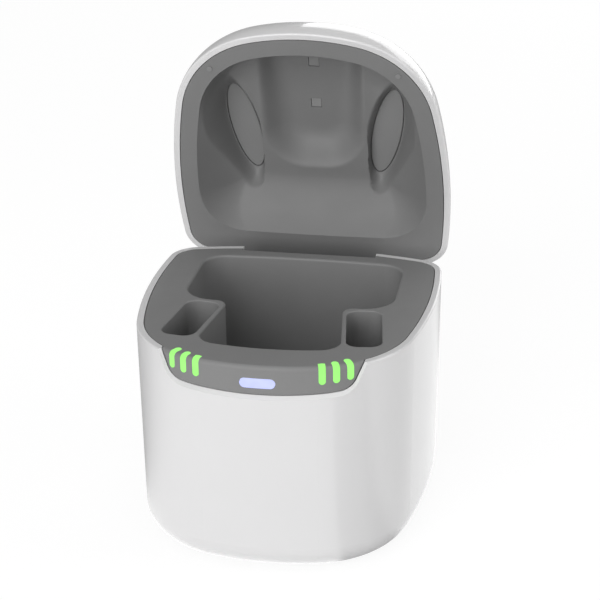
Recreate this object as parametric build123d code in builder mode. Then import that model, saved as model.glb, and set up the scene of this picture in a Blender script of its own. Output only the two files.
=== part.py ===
from build123d import *
import os
from math import cos, pi, radians, sin, tan

# Hearing aid dryer: a white case with a grey tray and a hinged, domed lid.
# Millimetres, +Z up, front towards -Y, origin under the middle of the case on the table.

# --- Case form, seen from above -------------------------------------------------------
body_width = 86.0
body_depth = 87.7
front_radius = 71.7
side_radius = 162.3
back_radius = 142.8
front_corner_radius = 30.8
back_corner_radius = 9.4
least_corner = 2.0  # of an outline moved far inwards
edge_reach = 0.25  # an edge lies at most this far from the outline that it is picked by
widest_point = 14.7  # the case is widest this far behind its middle

# --- Case shell -----------------------------------------------------------------------
body_height = 64.1
wall = 2.0
floor_thickness = 2.4
bottom_radius = 8.0
draft_angle = 0.5
rim_round = 0.5
foot_lift = 0.6
rim_z = foot_lift + body_height
floor_z = foot_lift + floor_thickness

# --- Front notch, where the tray's apron shows ------------------------------------------
notch_top_inset = 14.9  # from the side of the case
notch_bottom_inset = 18.1
notch_top_half = body_width / 2 - notch_top_inset
notch_bottom_half = body_width / 2 - notch_bottom_inset
notch_depth = 8.5
notch_sag = 1.1
notch_corner_radius = 5.0
notch_chamfer = 1.0
notch_overrun = 3.0  # the cut for the notch ends this far above the rim

# --- Tray -----------------------------------------------------------------------------
tray_gap = 0.25
tray_plate = 2.2
skirt_depth = 6.0
skirt_wall = 1.5
skirt_gap = 0.3
deck_back_inset = 5.35  # back edge of the plate behind the lid's arm
apron_setback = 1.1
apron_wall = 2.3
apron_edge_round = 1.2
cavity_depth = 38.0
cavity_wall = 1.5
cavity_edge_round = 0.7
cavity_back_inset = 9.4  # middle of the cavity's back edge from the back of the case
cavity_front_inset = 12.85
cavity_back_sag = 1.4
cavity_front_sag = 2.6
cavity_back_corner_inset = 12.4  # from the side of the case
cavity_middle_corner_inset = 12.1
cavity_lobe_rise = 1.0  # from the waist corner back to the middle corner
cavity_back_y = body_depth / 2 - cavity_back_inset
cavity_front_y = cavity_front_inset - body_depth / 2
cavity_back_radius = 7.0
cavity_middle_radius = 9.0
cavity_waist_radius = 3.0
cavity_front_radius = 6.0
pocket_length = 24.2
pocket_width = 10.1
pocket_corner_radius = 3.5
pocket_side_inset = 18.1  # centre of the pocket from the side of the case
pocket_front_inset = 29.85
pocket_centre = (body_width / 2 - pocket_side_inset, pocket_front_inset - body_depth / 2)
pocket_angle = 8.0
pocket_depth = 20.0
pocket_wall = 1.1
pocket_back_wall = 1.3  # between the pocket and the cavity behind it
pocket_waist_wall = 1.37  # between the pocket and the cavity beside it, at the back
pocket_front_wall = 1.13  # the same, at the front
pocket_edge_round = 0.35
pocket_lean = pocket_length / 2 * sin(radians(pocket_angle))
pocket_inner_x = pocket_centre[0] - pocket_width / 2
cavity_waist_y = pocket_centre[1] + pocket_length / 2 + pocket_back_wall
cavity_middle_y = cavity_waist_y + cavity_lobe_rise
cavity_back_corner = (body_width / 2 - cavity_back_corner_inset, cavity_back_y - cavity_back_sag)
cavity_middle_corner = (body_width / 2 - cavity_middle_corner_inset, cavity_middle_y)
cavity_waist_corner = (pocket_inner_x - pocket_lean - pocket_waist_wall, cavity_waist_y)
cavity_front_corner = (
    pocket_inner_x + pocket_lean - pocket_front_wall,
    cavity_front_y + cavity_front_sag,
)

# --- Lid ------------------------------------------------------------------------------
open_angle = 72.6  # the lid is modelled open; it closes through this angle
hinge_inset = 2.82  # axis in front of the case's back face
hinge_drop = 12.8  # axis below the rim
seam_gap = 0.5
lid_height = 23.5
lid_wall = 1.9
lid_top_scale = 0.46
lid_rim_round = 0.45
liner_flange = 2.0
liner_skin = 1.5
lid_ledge = 0.5  # step in the lid's wall that the liner rests on
dish_inset = 7.3
dish_back_inset = 13.85
dish_back_y = body_depth / 2 - dish_back_inset
dish_back_sag = 0.9
dish_corner_radius = 12.0
dish_roof = 12.5  # from the bottom of the dish to the top of the lid
dish_depth = lid_height - dish_roof
dish_top_scale = 0.66
bowl_length = 49.0
bowl_width = 30.0
bowl_front_inset = 32.85  # centre of the bowl from the front of the case
bowl_centre_y = bowl_front_inset - body_depth / 2
bowl_roof = 6.1
bowl_depth = lid_height - bowl_roof
bowl_corner_radius = 13.0
bowl_top_scale = 0.62
scoop_margin = 1.1  # of the scoop's mouth around the pad
scoop_side_inset = 20.8
scoop_centre = (body_width / 2 - scoop_side_inset, -0.8)
scoop_angle = 10.8
scoop_roof = 8.1
scoop_depth = lid_height - scoop_roof
scoop_top_scale = 0.94
pad_length = 31.2
pad_width = 8.8
pad_thickness = 1.0
bumper_radius = 0.8
bumper_height = 0.35
bumper_side_inset = 15.0
bumper_front_inset = 12.95
bumper_place = (body_width / 2 - bumper_side_inset, bumper_front_inset - body_depth / 2)
window_size = 3.0
window_sink = 0.2
window_insets = (20.6, 35.5)  # from the front of the case
window_places = [inset - body_depth / 2 for inset in window_insets]
lamp_board_width = 8.0
lamp_board_margin = 1.5  # beyond the middles of the two windows
lamp_board_thickness = 0.8
lamp_size = 2.0
lamp_height = 0.7
lamp_boss_radius = 1.4
lamp_boss_place = (0, sum(window_places) / 2)
lamp_board_length = window_insets[1] - window_insets[0] + 2 * lamp_board_margin

# --- Hinge ----------------------------------------------------------------------------
slot_half_width = 20.9
slot_side_gap = 0.4
slot_below_axis = 4.2
barrel_radius = 2.6
pin_radius = 1.0
pin_gap = 0.04
knuckle_width = 3.4
knuckle_gap = 0.25
arm_thickness = 2.3
arm_front_inset = 4.6  # front face of the arm plate from the case's back face, lid closed
arm_foot_length = 9.0
arm_foot_thickness = 1.6
arm_foot_half_width = 15.0
arm_side_gap = 0.2
arm_lift = barrel_radius + 0.8  # the wide plate of the arm starts this far from the axis
arm_screw_places = (-10.0, 0.0, 10.0)
arm_screw_inset = 8.4

# --- Indicator bars and button ----------------------------------------------------------
bar_insets = (25.6, 21.9, 18.35)  # from the side of the case
bar_places = [body_width / 2 - inset for inset in bar_insets]
bar_reaches = (1.5, 2.1, 2.6)
bar_drops = (5.2, 5.0, 4.6)
bar_width = 1.9
bar_skin = 1.6
bar_gap = 0.05
block_length = 8.4
block_height = 2.8
block_depth = 1.2
block_drop = 3.7  # middle of the block below the rim
led_height = 0.4
led_width = 1.6
led_gap = 0.15
led_pitch = 2.5
button_width = 9.8
button_height = 2.8
button_drop = 5.1
button_gap = 0.1
button_travel = 0.4
flange_clear = 0.4
flange_width = 12.0
flange_height = 4.6
flange_thickness = 0.8
nub_radius = 1.3
plunger_radius = 1.0
plunger_gap = 0.05
plunger_length = 1.4
switch_size = 4.5
switch_depth = 1.6
switch_floor = 0.2

# --- Electronics ------------------------------------------------------------------------
board_thickness = 1.2
board_z = 9.0
board_inset = 4.5
board_front_y = -30.0
standoff_radius = 3.2
back_post_inset = (18.5, 13.85)  # from the side and the back of the case
front_post_inset = (29.5, 24.35)
post_radius = 3.0
screw_radius = 1.2
screw_gap = 0.05
screw_head_radius = 2.3
screw_head_height = 1.6
screw_grip = 7.0
screw_drive_share = 0.5  # of the head's radius and height
small_screw_radius = 0.7
small_screw_head_radius = 1.3
small_screw_head_height = 0.8
chip_places = ((-24.0, 8.0), (24.5, 9.0), (-23.0, -4.0), (0.0, -20.0), (27.0, -10.0))
chip_lengths = (7.0, 5.0, 6.0, 9.0, 4.0)
chip_widths = (7.0, 5.0, 4.0, 4.0, 8.0)
chip_heights = (1.0, 0.9, 1.8, 3.4, 3.4)
can_places = ((-24.0, -15.0), (22.0, -1.0))
can_radii = (3.0, 2.5)
can_heights = (7.0, 5.5)
fan_size = 30.0
fan_corner_radius = 2.5
fan_height = 8.0
fan_floor = 1.2
fan_bearing_radius = 2.0
fan_bearing_height = 6.0
fan_strut_width = 2.0
fan_hub_skin = 1.0
fan_hub_gap = 0.5
fan_blade_skin = 0.9
fan_blade_tilt = 42.0
fan_centre_y = 14.0
fan_bore_radius = 14.2
fan_hub_radius = 6.6
fan_tip_gap = 0.6
fan_shaft_radius = 0.75
fan_shaft_gap = 0.03
fan_blades = 7
fan_screw_inset = 2.2
fan_screw_pitch = fan_size - 2 * fan_screw_inset
heater_length = 30.0
heater_width = 20.0
heater_height = 4.0
heater_bar = 3.0
heater_fins = 8
heater_fin_width = 1.1
vent_width = 1.8
vent_pitch = 3.6
vent_count = 7
vent_length = 20.0
screw_head_gap = 0.2
screw_head_sink = 0.4
coil_edge_gap = 0.85
coil_radius = pocket_width / 2 - coil_edge_gap
coil_bore_radius = 2.0
coil_thickness = 0.8
ferrite_edge_gap = 0.65
ferrite_size = pocket_width - 2 * ferrite_edge_gap
ferrite_thickness = 0.6
socket_width = 8.94
socket_height = 3.2
socket_depth = 7.4
socket_skin = 0.3
socket_gap = 0.2
socket_setback = 0.4
socket_back = 1.2  # thickness behind the socket's mouth
tongue_width = 6.7
tongue_height = 0.7
tongue_length = 5.4
indicator_board_side_inset = 19.0
indicator_board_half = body_width / 2 - indicator_board_side_inset
indicator_board_back_gap = 0.2
indicator_board_thickness = 0.8
indicator_board_height = 7.0
indicator_board_clear = 0.2
indicator_screw_length = 3.0
boss_radius = 1.6
mat_inset = 15.0
mat_recess = 0.8
mat_gap = 0.1
air_way_margin = 2.0  # between the air slots and the mat

# --- Places worked out from the sizes above ---------------------------------------------
hinge_y = body_depth / 2 - hinge_inset
hinge_z = rim_z - hinge_drop
cavity_floor_z = rim_z - cavity_depth
cavity_under_z = cavity_floor_z - cavity_wall
pocket_floor_z = rim_z - pocket_depth
pocket_under_z = pocket_floor_z - cavity_wall
board_top_z = board_z + board_thickness
heater_z = cavity_under_z - heater_height
fan_z = heater_z - fan_height
socket_z = board_top_z + socket_height / 2
button_z = rim_z - button_drop
apron_face_y = apron_setback - body_depth / 2
apron_back_y = apron_face_y + apron_wall
flange_front_y = apron_back_y + flange_clear
flange_back_y = flange_front_y + flange_thickness
indicator_board_back_y = cavity_front_y - cavity_wall - indicator_board_back_gap
indicator_board_y = indicator_board_back_y - indicator_board_thickness
switch_face_y = indicator_board_y - switch_depth
plunger_tip_y = switch_face_y - button_travel - plunger_gap
light_back_y = indicator_board_y - led_height - led_gap
block_z = rim_z - block_drop
middle_bar = len(bar_places) // 2
boss_place = (flange_width / 2 + bar_places[middle_bar] - block_length / 2) / 2
boss_points = [(side * boss_place, button_z) for side in (-1, 1)]
led_points = [
    (side * (bar_places[middle_bar] + step * led_pitch), block_z)
    for step in (-1, 0, 1)
    for side in (-1, 1)
]
ear_outer = slot_half_width - slot_side_gap
ear_inner = ear_outer - knuckle_width
barrel_half = ear_inner - knuckle_gap
arm_front_y = body_depth / 2 - arm_front_inset
arm_back_y = arm_front_y + arm_thickness
arm_screw_points = [(x, body_depth / 2 - arm_screw_inset) for x in arm_screw_places]
screw_seat_z = foot_lift + screw_head_sink + screw_head_height
socket_mouth_y = body_depth / 2 - (rim_z - socket_z) * tan(radians(draft_angle)) - socket_setback
back_post = (body_width / 2 - back_post_inset[0], body_depth / 2 - back_post_inset[1])
front_post = (body_width / 2 - front_post_inset[0], front_post_inset[1] - body_depth / 2)
post_points = [(side * x, y) for x, y in (back_post, front_post) for side in (-1, 1)]

# The lid's pieces are drawn closed, in the frame of this plane, which stands open.
hinge_plane = Plane(
    origin=(0, hinge_y, hinge_z),
    x_dir=(1, 0, 0),
    z_dir=(0, sin(radians(open_angle)), cos(radians(open_angle))),
)
lid_plane = Plane(hinge_plane.location * Location((0, -hinge_y, hinge_drop + seam_gap)))
arm_plane = Plane(origin=hinge_plane.origin, x_dir=hinge_plane.y_dir, z_dir=(1, 0, 0))


def front_outline(inset):
    """Outline of the case's front and flanks, which run on past its back."""
    with BuildSketch() as outline:
        with Locations((0, front_radius - body_depth / 2)):
            Circle(front_radius - inset)
        for side in (-1, 1):
            with Locations((side * (body_width / 2 - side_radius), widest_point)):
                Circle(side_radius - inset, mode=Mode.INTERSECT)
        fillet(outline.vertices().group_by(Axis.Y)[0], front_corner_radius - inset)
    return outline.sketch


def rim_outline(inset=0.0):
    """Outline of the case at its rim, moved inwards by the inset."""
    with BuildSketch() as outline:
        add(front_outline(inset))
        with Locations((0, body_depth / 2 - back_radius)):
            Circle(back_radius - inset, mode=Mode.INTERSECT)
        fillet(
            outline.vertices().group_by(Axis.Y)[-1], max(back_corner_radius - inset, least_corner)
        )
    return outline.sketch


def case_form(inset, base_z):
    """Solid with the case's drafted walls and rounded base, up to the rim."""
    with BuildPart() as form:
        with BuildSketch(Plane.XY.offset(rim_z)):
            add(rim_outline(inset))
        extrude(amount=base_z - rim_z, taper=draft_angle)
        fillet(form.faces().sort_by(Axis.Z)[0].edges(), bottom_radius - inset)
    return form.part


def notch_outline(clearance=0.0):
    """Front view of the notch: x across, y up from the rim."""
    with BuildSketch() as outline:
        with BuildLine():
            Polyline(
                (-notch_bottom_half, notch_sag - notch_depth),
                (-notch_top_half, 0),
                (-notch_top_half, notch_overrun),
                (notch_top_half, notch_overrun),
                (notch_top_half, 0),
                (notch_bottom_half, notch_sag - notch_depth),
            )
            ThreePointArc(
                (notch_bottom_half, notch_sag - notch_depth),
                (0, -notch_depth),
                (-notch_bottom_half, notch_sag - notch_depth),
            )
        make_face()
        fillet(outline.vertices().group_by(Axis.Y)[0], notch_corner_radius)
        if clearance:
            offset(amount=-clearance)
    return outline.sketch


def along_outline(edges, inset):
    """Edges that lie over the outline of the case at this inset, seen from above."""
    line = rim_outline(inset).wire()
    return edges.filter_by(
        lambda edge: line.distance_to(Vector((edge @ 0.5).X, (edge @ 0.5).Y)) < edge_reach
    )


def cavity_outline(grow=0.0):
    """Plan of the tray's main cavity, moved outwards by grow."""
    corners = {
        cavity_back_corner: cavity_back_radius,
        cavity_middle_corner: cavity_middle_radius,
        cavity_waist_corner: cavity_waist_radius,
        cavity_front_corner: cavity_front_radius,
    }
    back_x, back_y = cavity_back_corner
    front_x, front_y = cavity_front_corner
    with BuildSketch() as outline:
        with BuildLine():
            right = Polyline(*corners)
            mirror(right, about=Plane.YZ)
            ThreePointArc((back_x, back_y), (0, cavity_back_y), (-back_x, back_y))
            ThreePointArc((front_x, front_y), (0, cavity_front_y), (-front_x, front_y))
        make_face()
        for (corner_x, corner_y), radius in corners.items():
            for side in (-1, 1):
                corner = outline.vertices().sort_by_distance((side * corner_x, corner_y))[0]
                fillet(corner, radius)
        if grow:
            offset(amount=grow)
    return outline.sketch


def pocket_outline(side, grow=0.0):
    """Plan of the pocket on one side (1 right, -1 left), moved outwards by grow."""
    across, along = pocket_centre
    with BuildSketch() as outline:
        with Locations(Location((side * across, along, 0), (0, 0, side * pocket_angle))):
            RectangleRounded(
                pocket_width + 2 * grow, pocket_length + 2 * grow, pocket_corner_radius + grow
            )
    return outline.sketch


def dish_outline(grow=0.0):
    """Mouth of the hollow in the lid's liner, moved outwards by grow."""
    right = (body_width / 2, dish_back_y - dish_back_sag)
    left = (-body_width / 2, dish_back_y - dish_back_sag)
    with BuildSketch() as outline:
        add(front_outline(dish_inset))
        with BuildSketch(mode=Mode.INTERSECT):
            with BuildLine():
                ThreePointArc(left, (0, dish_back_y), right)
                Polyline(right, (right[0], -body_depth), (left[0], -body_depth), left)
            make_face()
        fillet(outline.vertices().group_by(Axis.Y)[-1], dish_corner_radius)
        if grow:
            offset(amount=grow)
    return outline.sketch


def bowl_outline(grow=0.0):
    """Plan of the deeper bowl inside the dish, about its own centre."""
    with BuildSketch() as outline:
        RectangleRounded(
            bowl_width + 2 * grow, bowl_length + 2 * grow, bowl_corner_radius + grow
        )
    return outline.sketch


def scoop_outline(grow=0.0):
    """Plan of a scoop for the top of a hearing aid, about its own centre."""
    with BuildSketch() as outline:
        Ellipse(pad_width / 2 + scoop_margin + grow, pad_length / 2 + scoop_margin + grow)
    return outline.sketch


def scoop_plane(side):
    """Plane of the lid's seam, centred on the scoop of one side and turned with it."""
    across, along = scoop_centre
    turned = Location((side * across, along, 0), (0, 0, side * scoop_angle))
    return Plane(lid_plane.location * turned)


def dome_sections(base, plane, height, top_scale, steps=6):
    """Copies of a plan that shrink along a quarter ellipse, to be lofted into a dome."""
    sections = []
    for step in range(steps + 1):
        angle = pi / 2 * step / steps
        factor = 1 - (1 - top_scale) * (1 - cos(angle))
        section = scale(base, by=factor, mode=Mode.PRIVATE)
        sections.append(plane.offset(height * sin(angle)) * section)
    return sections


def vent_slots():
    """Row of air slots under the fan."""
    with BuildSketch() as slots:
        with Locations((0, fan_centre_y)):
            with GridLocations(vent_pitch, 0, vent_count, 1):
                SlotOverall(vent_length, vent_width, rotation=90)
    return slots.sketch


def mat_outline(grow=0.0):
    """Plan of the non-slip mat, open to the back so that air reaches the slots."""
    air_way_width = vent_pitch * (vent_count - 1) + vent_width + 2 * air_way_margin
    with BuildSketch() as mat:
        add(rim_outline(mat_inset - grow))
        with Locations((0, fan_centre_y - vent_length / 2 - air_way_margin + grow)):
            Rectangle(
                air_way_width - 2 * grow,
                body_depth,
                align=(Align.CENTER, Align.MIN),
                mode=Mode.SUBTRACT,
            )
        with Locations(*post_points):
            Circle(screw_head_radius + screw_head_gap, mode=Mode.SUBTRACT)
    return mat.sketch


def apron_point(across):
    """Point of the apron's face at this distance from the middle, in plan."""
    probe = Edge.make_line((across, 0), (across, -body_depth))
    return (rim_outline(apron_setback).face() & probe).vertices().sort_by(Axis.Y)[0].center()


def apron_normal(across):
    """Direction that points into the case, square to the apron's face, in plan."""
    edge = rim_outline(apron_setback).edges().sort_by_distance(apron_point(across))[0]
    return (edge.arc_center - apron_point(across)).normalized()


def bar_space(grow=0.0):
    """Space of the three bars on the right and of the block that joins them."""
    width = bar_width + 2 * grow
    with BuildPart() as space:
        for place, reach, drop in zip(bar_places, bar_reaches, bar_drops):
            point = apron_point(place)
            inwards = apron_normal(place)
            face_plane = Plane(
                origin=(point.X, point.Y, rim_z),
                x_dir=(inwards.Y, -inwards.X, 0),
                z_dir=inwards,
            )
            # leg down the apron, round at its lower end
            with BuildSketch(face_plane.offset(-apron_setback)):
                with Locations((0, (drop - bar_width) / 2)):
                    SlotOverall(drop + bar_width + 2 * grow, width, rotation=90)
            extrude(amount=apron_setback + apron_wall)
            # stub through the wall, back to the block
            stub_front_y = point.Y + apron_wall / 2
            with BuildSketch(Plane.XZ.offset(-stub_front_y)):
                with Locations((place, block_z)):
                    Rectangle(width, block_height - bar_width + 2 * grow)
            extrude(amount=stub_front_y - light_back_y)
            # leg along the top, round at its inner end
            with BuildSketch(Plane.XY.offset(rim_z)):
                with BuildLine():
                    Line(point - inwards * apron_setback, point + inwards * reach)
                trace(line_width=width)
                with Locations(point + inwards * reach):
                    Circle(width / 2)
            extrude(amount=-(bar_skin + grow))
        # block that joins the bars in front of the lights
        with BuildSketch(Plane.XZ.offset(-light_back_y)):
            with Locations((bar_places[middle_bar], block_z)):
                Rectangle(block_length + 2 * grow, block_height + 2 * grow)
        extrude(amount=block_depth + grow)
    return space.part


def fan_corners(radius):
    """Circles at the fan's four corner screws."""
    with BuildSketch() as circles:
        with Locations((0, fan_centre_y)):
            with GridLocations(fan_screw_pitch, fan_screw_pitch, 2, 2):
                Circle(radius)
    return circles.sketch


def bowl_sections(grow=0.0):
    """Sections of the bowl, moved outwards by grow."""
    plane = Plane(lid_plane.location * Location((0, bowl_centre_y, 0)))
    return dome_sections(bowl_outline(grow), plane, bowl_depth + grow, bowl_top_scale)


def scoop_sections(side, grow=0.0):
    """Sections of the scoop on one side, moved outwards by grow."""
    return dome_sections(
        scoop_outline(grow), scoop_plane(side), scoop_depth + grow, scoop_top_scale
    )


def screw(radius, length, head_radius, head_height):
    """Screw along +Z with its head below the origin."""
    with BuildPart() as body:
        Cylinder(radius, length, align=(Align.CENTER, Align.CENTER, Align.MIN))
        Cylinder(head_radius, head_height, align=(Align.CENTER, Align.CENTER, Align.MAX))
        with BuildSketch(Plane.XY.offset(-head_height)):
            RegularPolygon(head_radius * screw_drive_share, 6)
        extrude(amount=head_height * screw_drive_share, mode=Mode.SUBTRACT)
    return body.part


# --- Case -----------------------------------------------------------------------------
with BuildPart() as outer_housing:
    add(case_form(0, foot_lift))
    add(case_form(wall, floor_z), mode=Mode.SUBTRACT)
    # front notch, chamfered, and the soft rim
    with BuildSketch(Plane.XZ.offset(body_depth / 4)):
        with Locations((0, rim_z)):
            add(notch_outline())
    extrude(amount=body_depth / 2, mode=Mode.SUBTRACT)
    near_rim = outer_housing.edges().filter_by_position(
        Axis.Z, rim_z - 2 * notch_depth, rim_z, (False, False)
    )
    chamfer(along_outline(near_rim, 0), notch_chamfer)
    rim = outer_housing.faces().sort_by(Axis.Z)[-1]
    fillet(along_outline(rim.outer_wire().edges(), 0), rim_round)
    # slot in the back wall for the lid's arm
    with BuildSketch(Plane.XZ.offset(-body_depth / 4)):
        with Locations((0, hinge_z - slot_below_axis)):
            Rectangle(2 * slot_half_width, body_height, align=(Align.CENTER, Align.MIN))
    extrude(amount=-body_depth / 2, mode=Mode.SUBTRACT)
    # opening for the power socket
    with BuildSketch(Plane.XZ.offset(-body_depth / 4)):
        with Locations((0, socket_z)):
            SlotOverall(socket_width + 2 * socket_gap, socket_height + 2 * socket_gap)
    extrude(amount=-body_depth / 2, mode=Mode.SUBTRACT)
    # standoffs under the main board, with their screw holes
    with BuildSketch(Plane.XY.offset(floor_z)):
        with Locations(*post_points):
            Circle(standoff_radius)
    extrude(amount=board_z - floor_z)
    with Locations(*[(x, y, foot_lift) for x, y in post_points]):
        Cylinder(
            screw_radius + screw_gap,
            board_z - foot_lift,
            align=(Align.CENTER, Align.CENTER, Align.MIN),
            mode=Mode.SUBTRACT,
        )
        Cylinder(
            screw_head_radius + screw_head_gap,
            screw_head_height + screw_head_sink,
            align=(Align.CENTER, Align.CENTER, Align.MIN),
            mode=Mode.SUBTRACT,
        )
    # air inlet in the floor and recess for the mat
    with BuildSketch(Plane.XY.offset(foot_lift)):
        add(vent_slots())
    extrude(amount=floor_thickness, mode=Mode.SUBTRACT)
    with BuildSketch(Plane.XY.offset(foot_lift)):
        add(mat_outline(mat_gap))
    extrude(amount=mat_recess, mode=Mode.SUBTRACT)

# --- Tray: plate, skirt and apron first, as one plain form ------------------------------
with BuildPart() as apron_form:
    with BuildSketch(Plane.XY.offset(rim_z)):
        add(rim_outline(apron_setback))
        add(rim_outline(apron_setback + apron_wall), mode=Mode.SUBTRACT)
    extrude(amount=-2 * notch_depth)
    with BuildSketch(Plane.XZ.offset(body_depth / 4)):
        with Locations((0, rim_z)):
            add(notch_outline(tray_gap))
    extrude(amount=body_depth, mode=Mode.INTERSECT)

with BuildPart() as tray_form:
    with BuildSketch(Plane.XY.offset(rim_z)):
        add(rim_outline(wall + tray_gap))
    extrude(amount=-tray_plate)
    add(apron_form.part)
    top_edges = tray_form.faces().sort_by(Axis.Z)[-1].edges()
    fillet(along_outline(top_edges, apron_setback), apron_edge_round)

# --- Indicator bars --------------------------------------------------------------------
with BuildPart() as right_light_bars:
    add(bar_space())
    with BuildPart(mode=Mode.INTERSECT) as behind_face:
        with BuildSketch(Plane.XY.offset(rim_z)):
            add(rim_outline(apron_setback))
            with Locations((0, light_back_y)):
                Rectangle(
                    body_width, body_depth, align=(Align.CENTER, Align.MIN), mode=Mode.SUBTRACT
                )
        extrude(amount=-2 * notch_depth)
        top_edges = behind_face.faces().sort_by(Axis.Z)[-1].edges()
        fillet(top_edges.filter_by(lambda edge: (edge @ 0.5).Y < light_back_y), apron_edge_round)

with BuildPart() as left_light_bars:
    mirror(right_light_bars.part, about=Plane.YZ)

# --- Tray -----------------------------------------------------------------------------
with BuildPart() as top_deck:
    add(tray_form.part)
    # skirt that stiffens the rim, left open behind the notch
    with BuildSketch(Plane.XY.offset(rim_z - tray_plate)):
        add(rim_outline(wall + skirt_gap))
        add(rim_outline(wall + skirt_gap + skirt_wall), mode=Mode.SUBTRACT)
        with Locations((0, -body_depth / 2)):
            Rectangle(2 * notch_top_half, body_depth / 2, mode=Mode.SUBTRACT)
        with Locations((0, body_depth / 2)):
            Rectangle(2 * (slot_half_width + skirt_wall), body_depth / 2, mode=Mode.SUBTRACT)
    extrude(amount=-skirt_depth)
    # tubs of the cavity and the pockets
    with BuildSketch(Plane.XY.offset(rim_z)):
        add(cavity_outline(cavity_wall))
    extrude(amount=cavity_under_z - rim_z)
    with BuildSketch(Plane.XY.offset(rim_z)):
        for side in (-1, 1):
            add(pocket_outline(side, pocket_wall))
    extrude(amount=pocket_under_z - rim_z)
    with BuildSketch(Plane.XY.offset(rim_z)):
        add(cavity_outline())
    extrude(amount=-cavity_depth, mode=Mode.SUBTRACT)
    with BuildSketch(Plane.XY.offset(rim_z)):
        for side in (-1, 1):
            add(pocket_outline(side))
    extrude(amount=-pocket_depth, mode=Mode.SUBTRACT)
    # soft edges of the openings
    top_wires = top_deck.faces().sort_by(Axis.Z)[-1].inner_wires().sort_by(SortBy.LENGTH)
    fillet(top_wires[-1].edges(), cavity_edge_round)
    top_wires = top_deck.faces().sort_by(Axis.Z)[-1].inner_wires().sort_by(SortBy.LENGTH)
    fillet(top_wires[0].edges() + top_wires[1].edges(), pocket_edge_round)
    # air slots over the heater
    with BuildSketch(Plane.XY.offset(cavity_floor_z)):
        add(vent_slots())
    extrude(amount=-cavity_wall, mode=Mode.SUBTRACT)
    # room for the lid's arm, and the two hinge ears
    with BuildSketch(Plane.XY.offset(rim_z)):
        with Locations((0, body_depth / 2 - deck_back_inset)):
            Rectangle(2 * slot_half_width, body_depth, align=(Align.CENTER, Align.MIN))
    extrude(amount=-tray_plate, mode=Mode.SUBTRACT)
    for side in (-1, 1):
        with BuildSketch(Plane.YZ.offset(side * (ear_inner + ear_outer) / 2)):
            with Locations((hinge_y, hinge_z)):
                Circle(barrel_radius)
                Rectangle(
                    hinge_y - cavity_back_y - cavity_wall / 4,
                    2 * barrel_radius,
                    align=(Align.MAX, Align.CENTER),
                )
                Circle(pin_radius, mode=Mode.SUBTRACT)
        extrude(amount=knuckle_width / 2, both=True)
    # posts that clamp the main board
    with BuildSketch(Plane.XY.offset(board_top_z)):
        with Locations(*post_points):
            Circle(post_radius)
    extrude(amount=cavity_under_z - board_top_z)
    with BuildSketch(Plane.XY.offset(board_top_z)):
        with Locations(*post_points):
            Circle(screw_radius)
    extrude(amount=screw_grip, mode=Mode.SUBTRACT)
    # bosses for the fan's screws
    with BuildSketch(Plane.XY.offset(heater_z)):
        add(fan_corners(boss_radius))
    extrude(amount=heater_height)
    with BuildSketch(Plane.XY.offset(heater_z)):
        add(fan_corners(small_screw_radius))
    extrude(amount=heater_height - cavity_wall / 2, mode=Mode.SUBTRACT)
    # bosses for the indicator board
    with BuildSketch(Plane.XZ.offset(-indicator_board_y)):
        with Locations(*boss_points):
            Circle(boss_radius)
    extrude(amount=indicator_board_y - apron_back_y + apron_wall / 4)
    with BuildSketch(Plane.XZ.offset(-indicator_board_y)):
        with Locations(*boss_points):
            Circle(small_screw_radius)
    extrude(amount=indicator_screw_length, mode=Mode.SUBTRACT)
    # openings for the bars, their lights and the button
    with BuildSketch(Plane.XZ.offset(-indicator_board_y)):
        with Locations((-bar_places[middle_bar], block_z), (bar_places[middle_bar], block_z)):
            Rectangle(block_length + 2 * bar_gap, block_height + 2 * bar_gap)
    extrude(amount=led_height + led_gap, mode=Mode.SUBTRACT)
    add(bar_space(bar_gap), mode=Mode.SUBTRACT)
    add(mirror(bar_space(bar_gap), about=Plane.YZ, mode=Mode.PRIVATE), mode=Mode.SUBTRACT)
    with BuildSketch(Plane.XZ.offset(-flange_front_y)):
        with Locations((0, button_z)):
            SlotOverall(button_width + 2 * button_gap, button_height + 2 * button_gap)
    extrude(amount=body_depth / 4, mode=Mode.SUBTRACT)

# --- Button, switch and indicator board -------------------------------------------------
with BuildPart() as status_button:
    with BuildSketch(Plane.XZ.offset(-flange_front_y)):
        with Locations((0, button_z)):
            SlotOverall(button_width, button_height)
    extrude(amount=flange_front_y + body_depth / 2)
    with BuildSketch(Plane.XY.offset(rim_z)):
        add(rim_outline(apron_setback))
    extrude(amount=-2 * notch_depth, mode=Mode.INTERSECT)
    with BuildSketch(Plane.XZ.offset(-flange_back_y)):
        with Locations((0, button_z)):
            SlotOverall(flange_width, flange_height)
    extrude(amount=flange_thickness)
    with BuildSketch(Plane.XZ.offset(-plunger_tip_y)):
        with Locations((0, button_z)):
            Circle(nub_radius)
    extrude(amount=plunger_tip_y - flange_back_y)

with BuildPart() as switch_plunger:
    with BuildSketch(Plane.XZ.offset(-plunger_tip_y)):
        with Locations((0, button_z)):
            Circle(plunger_radius)
    extrude(amount=-plunger_length)

with BuildPart() as tact_switch:
    with BuildSketch(Plane.XZ.offset(-indicator_board_y)):
        with Locations((0, button_z)):
            Rectangle(switch_size, switch_size)
    extrude(amount=switch_depth)
    with BuildSketch(Plane.XZ.offset(-switch_face_y)):
        with Locations((0, button_z)):
            Circle(plunger_radius + plunger_gap)
    extrude(amount=switch_floor - switch_depth, mode=Mode.SUBTRACT)

with BuildPart() as indicator_board:
    with BuildSketch(Plane.XZ.offset(-indicator_board_y)):
        with Locations((0, rim_z - tray_plate - indicator_board_clear)):
            Rectangle(
                2 * indicator_board_half,
                indicator_board_height,
                align=(Align.CENTER, Align.MAX),
            )
        with Locations(*boss_points):
            Circle(small_screw_radius + screw_gap, mode=Mode.SUBTRACT)
    extrude(amount=-indicator_board_thickness)

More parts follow.
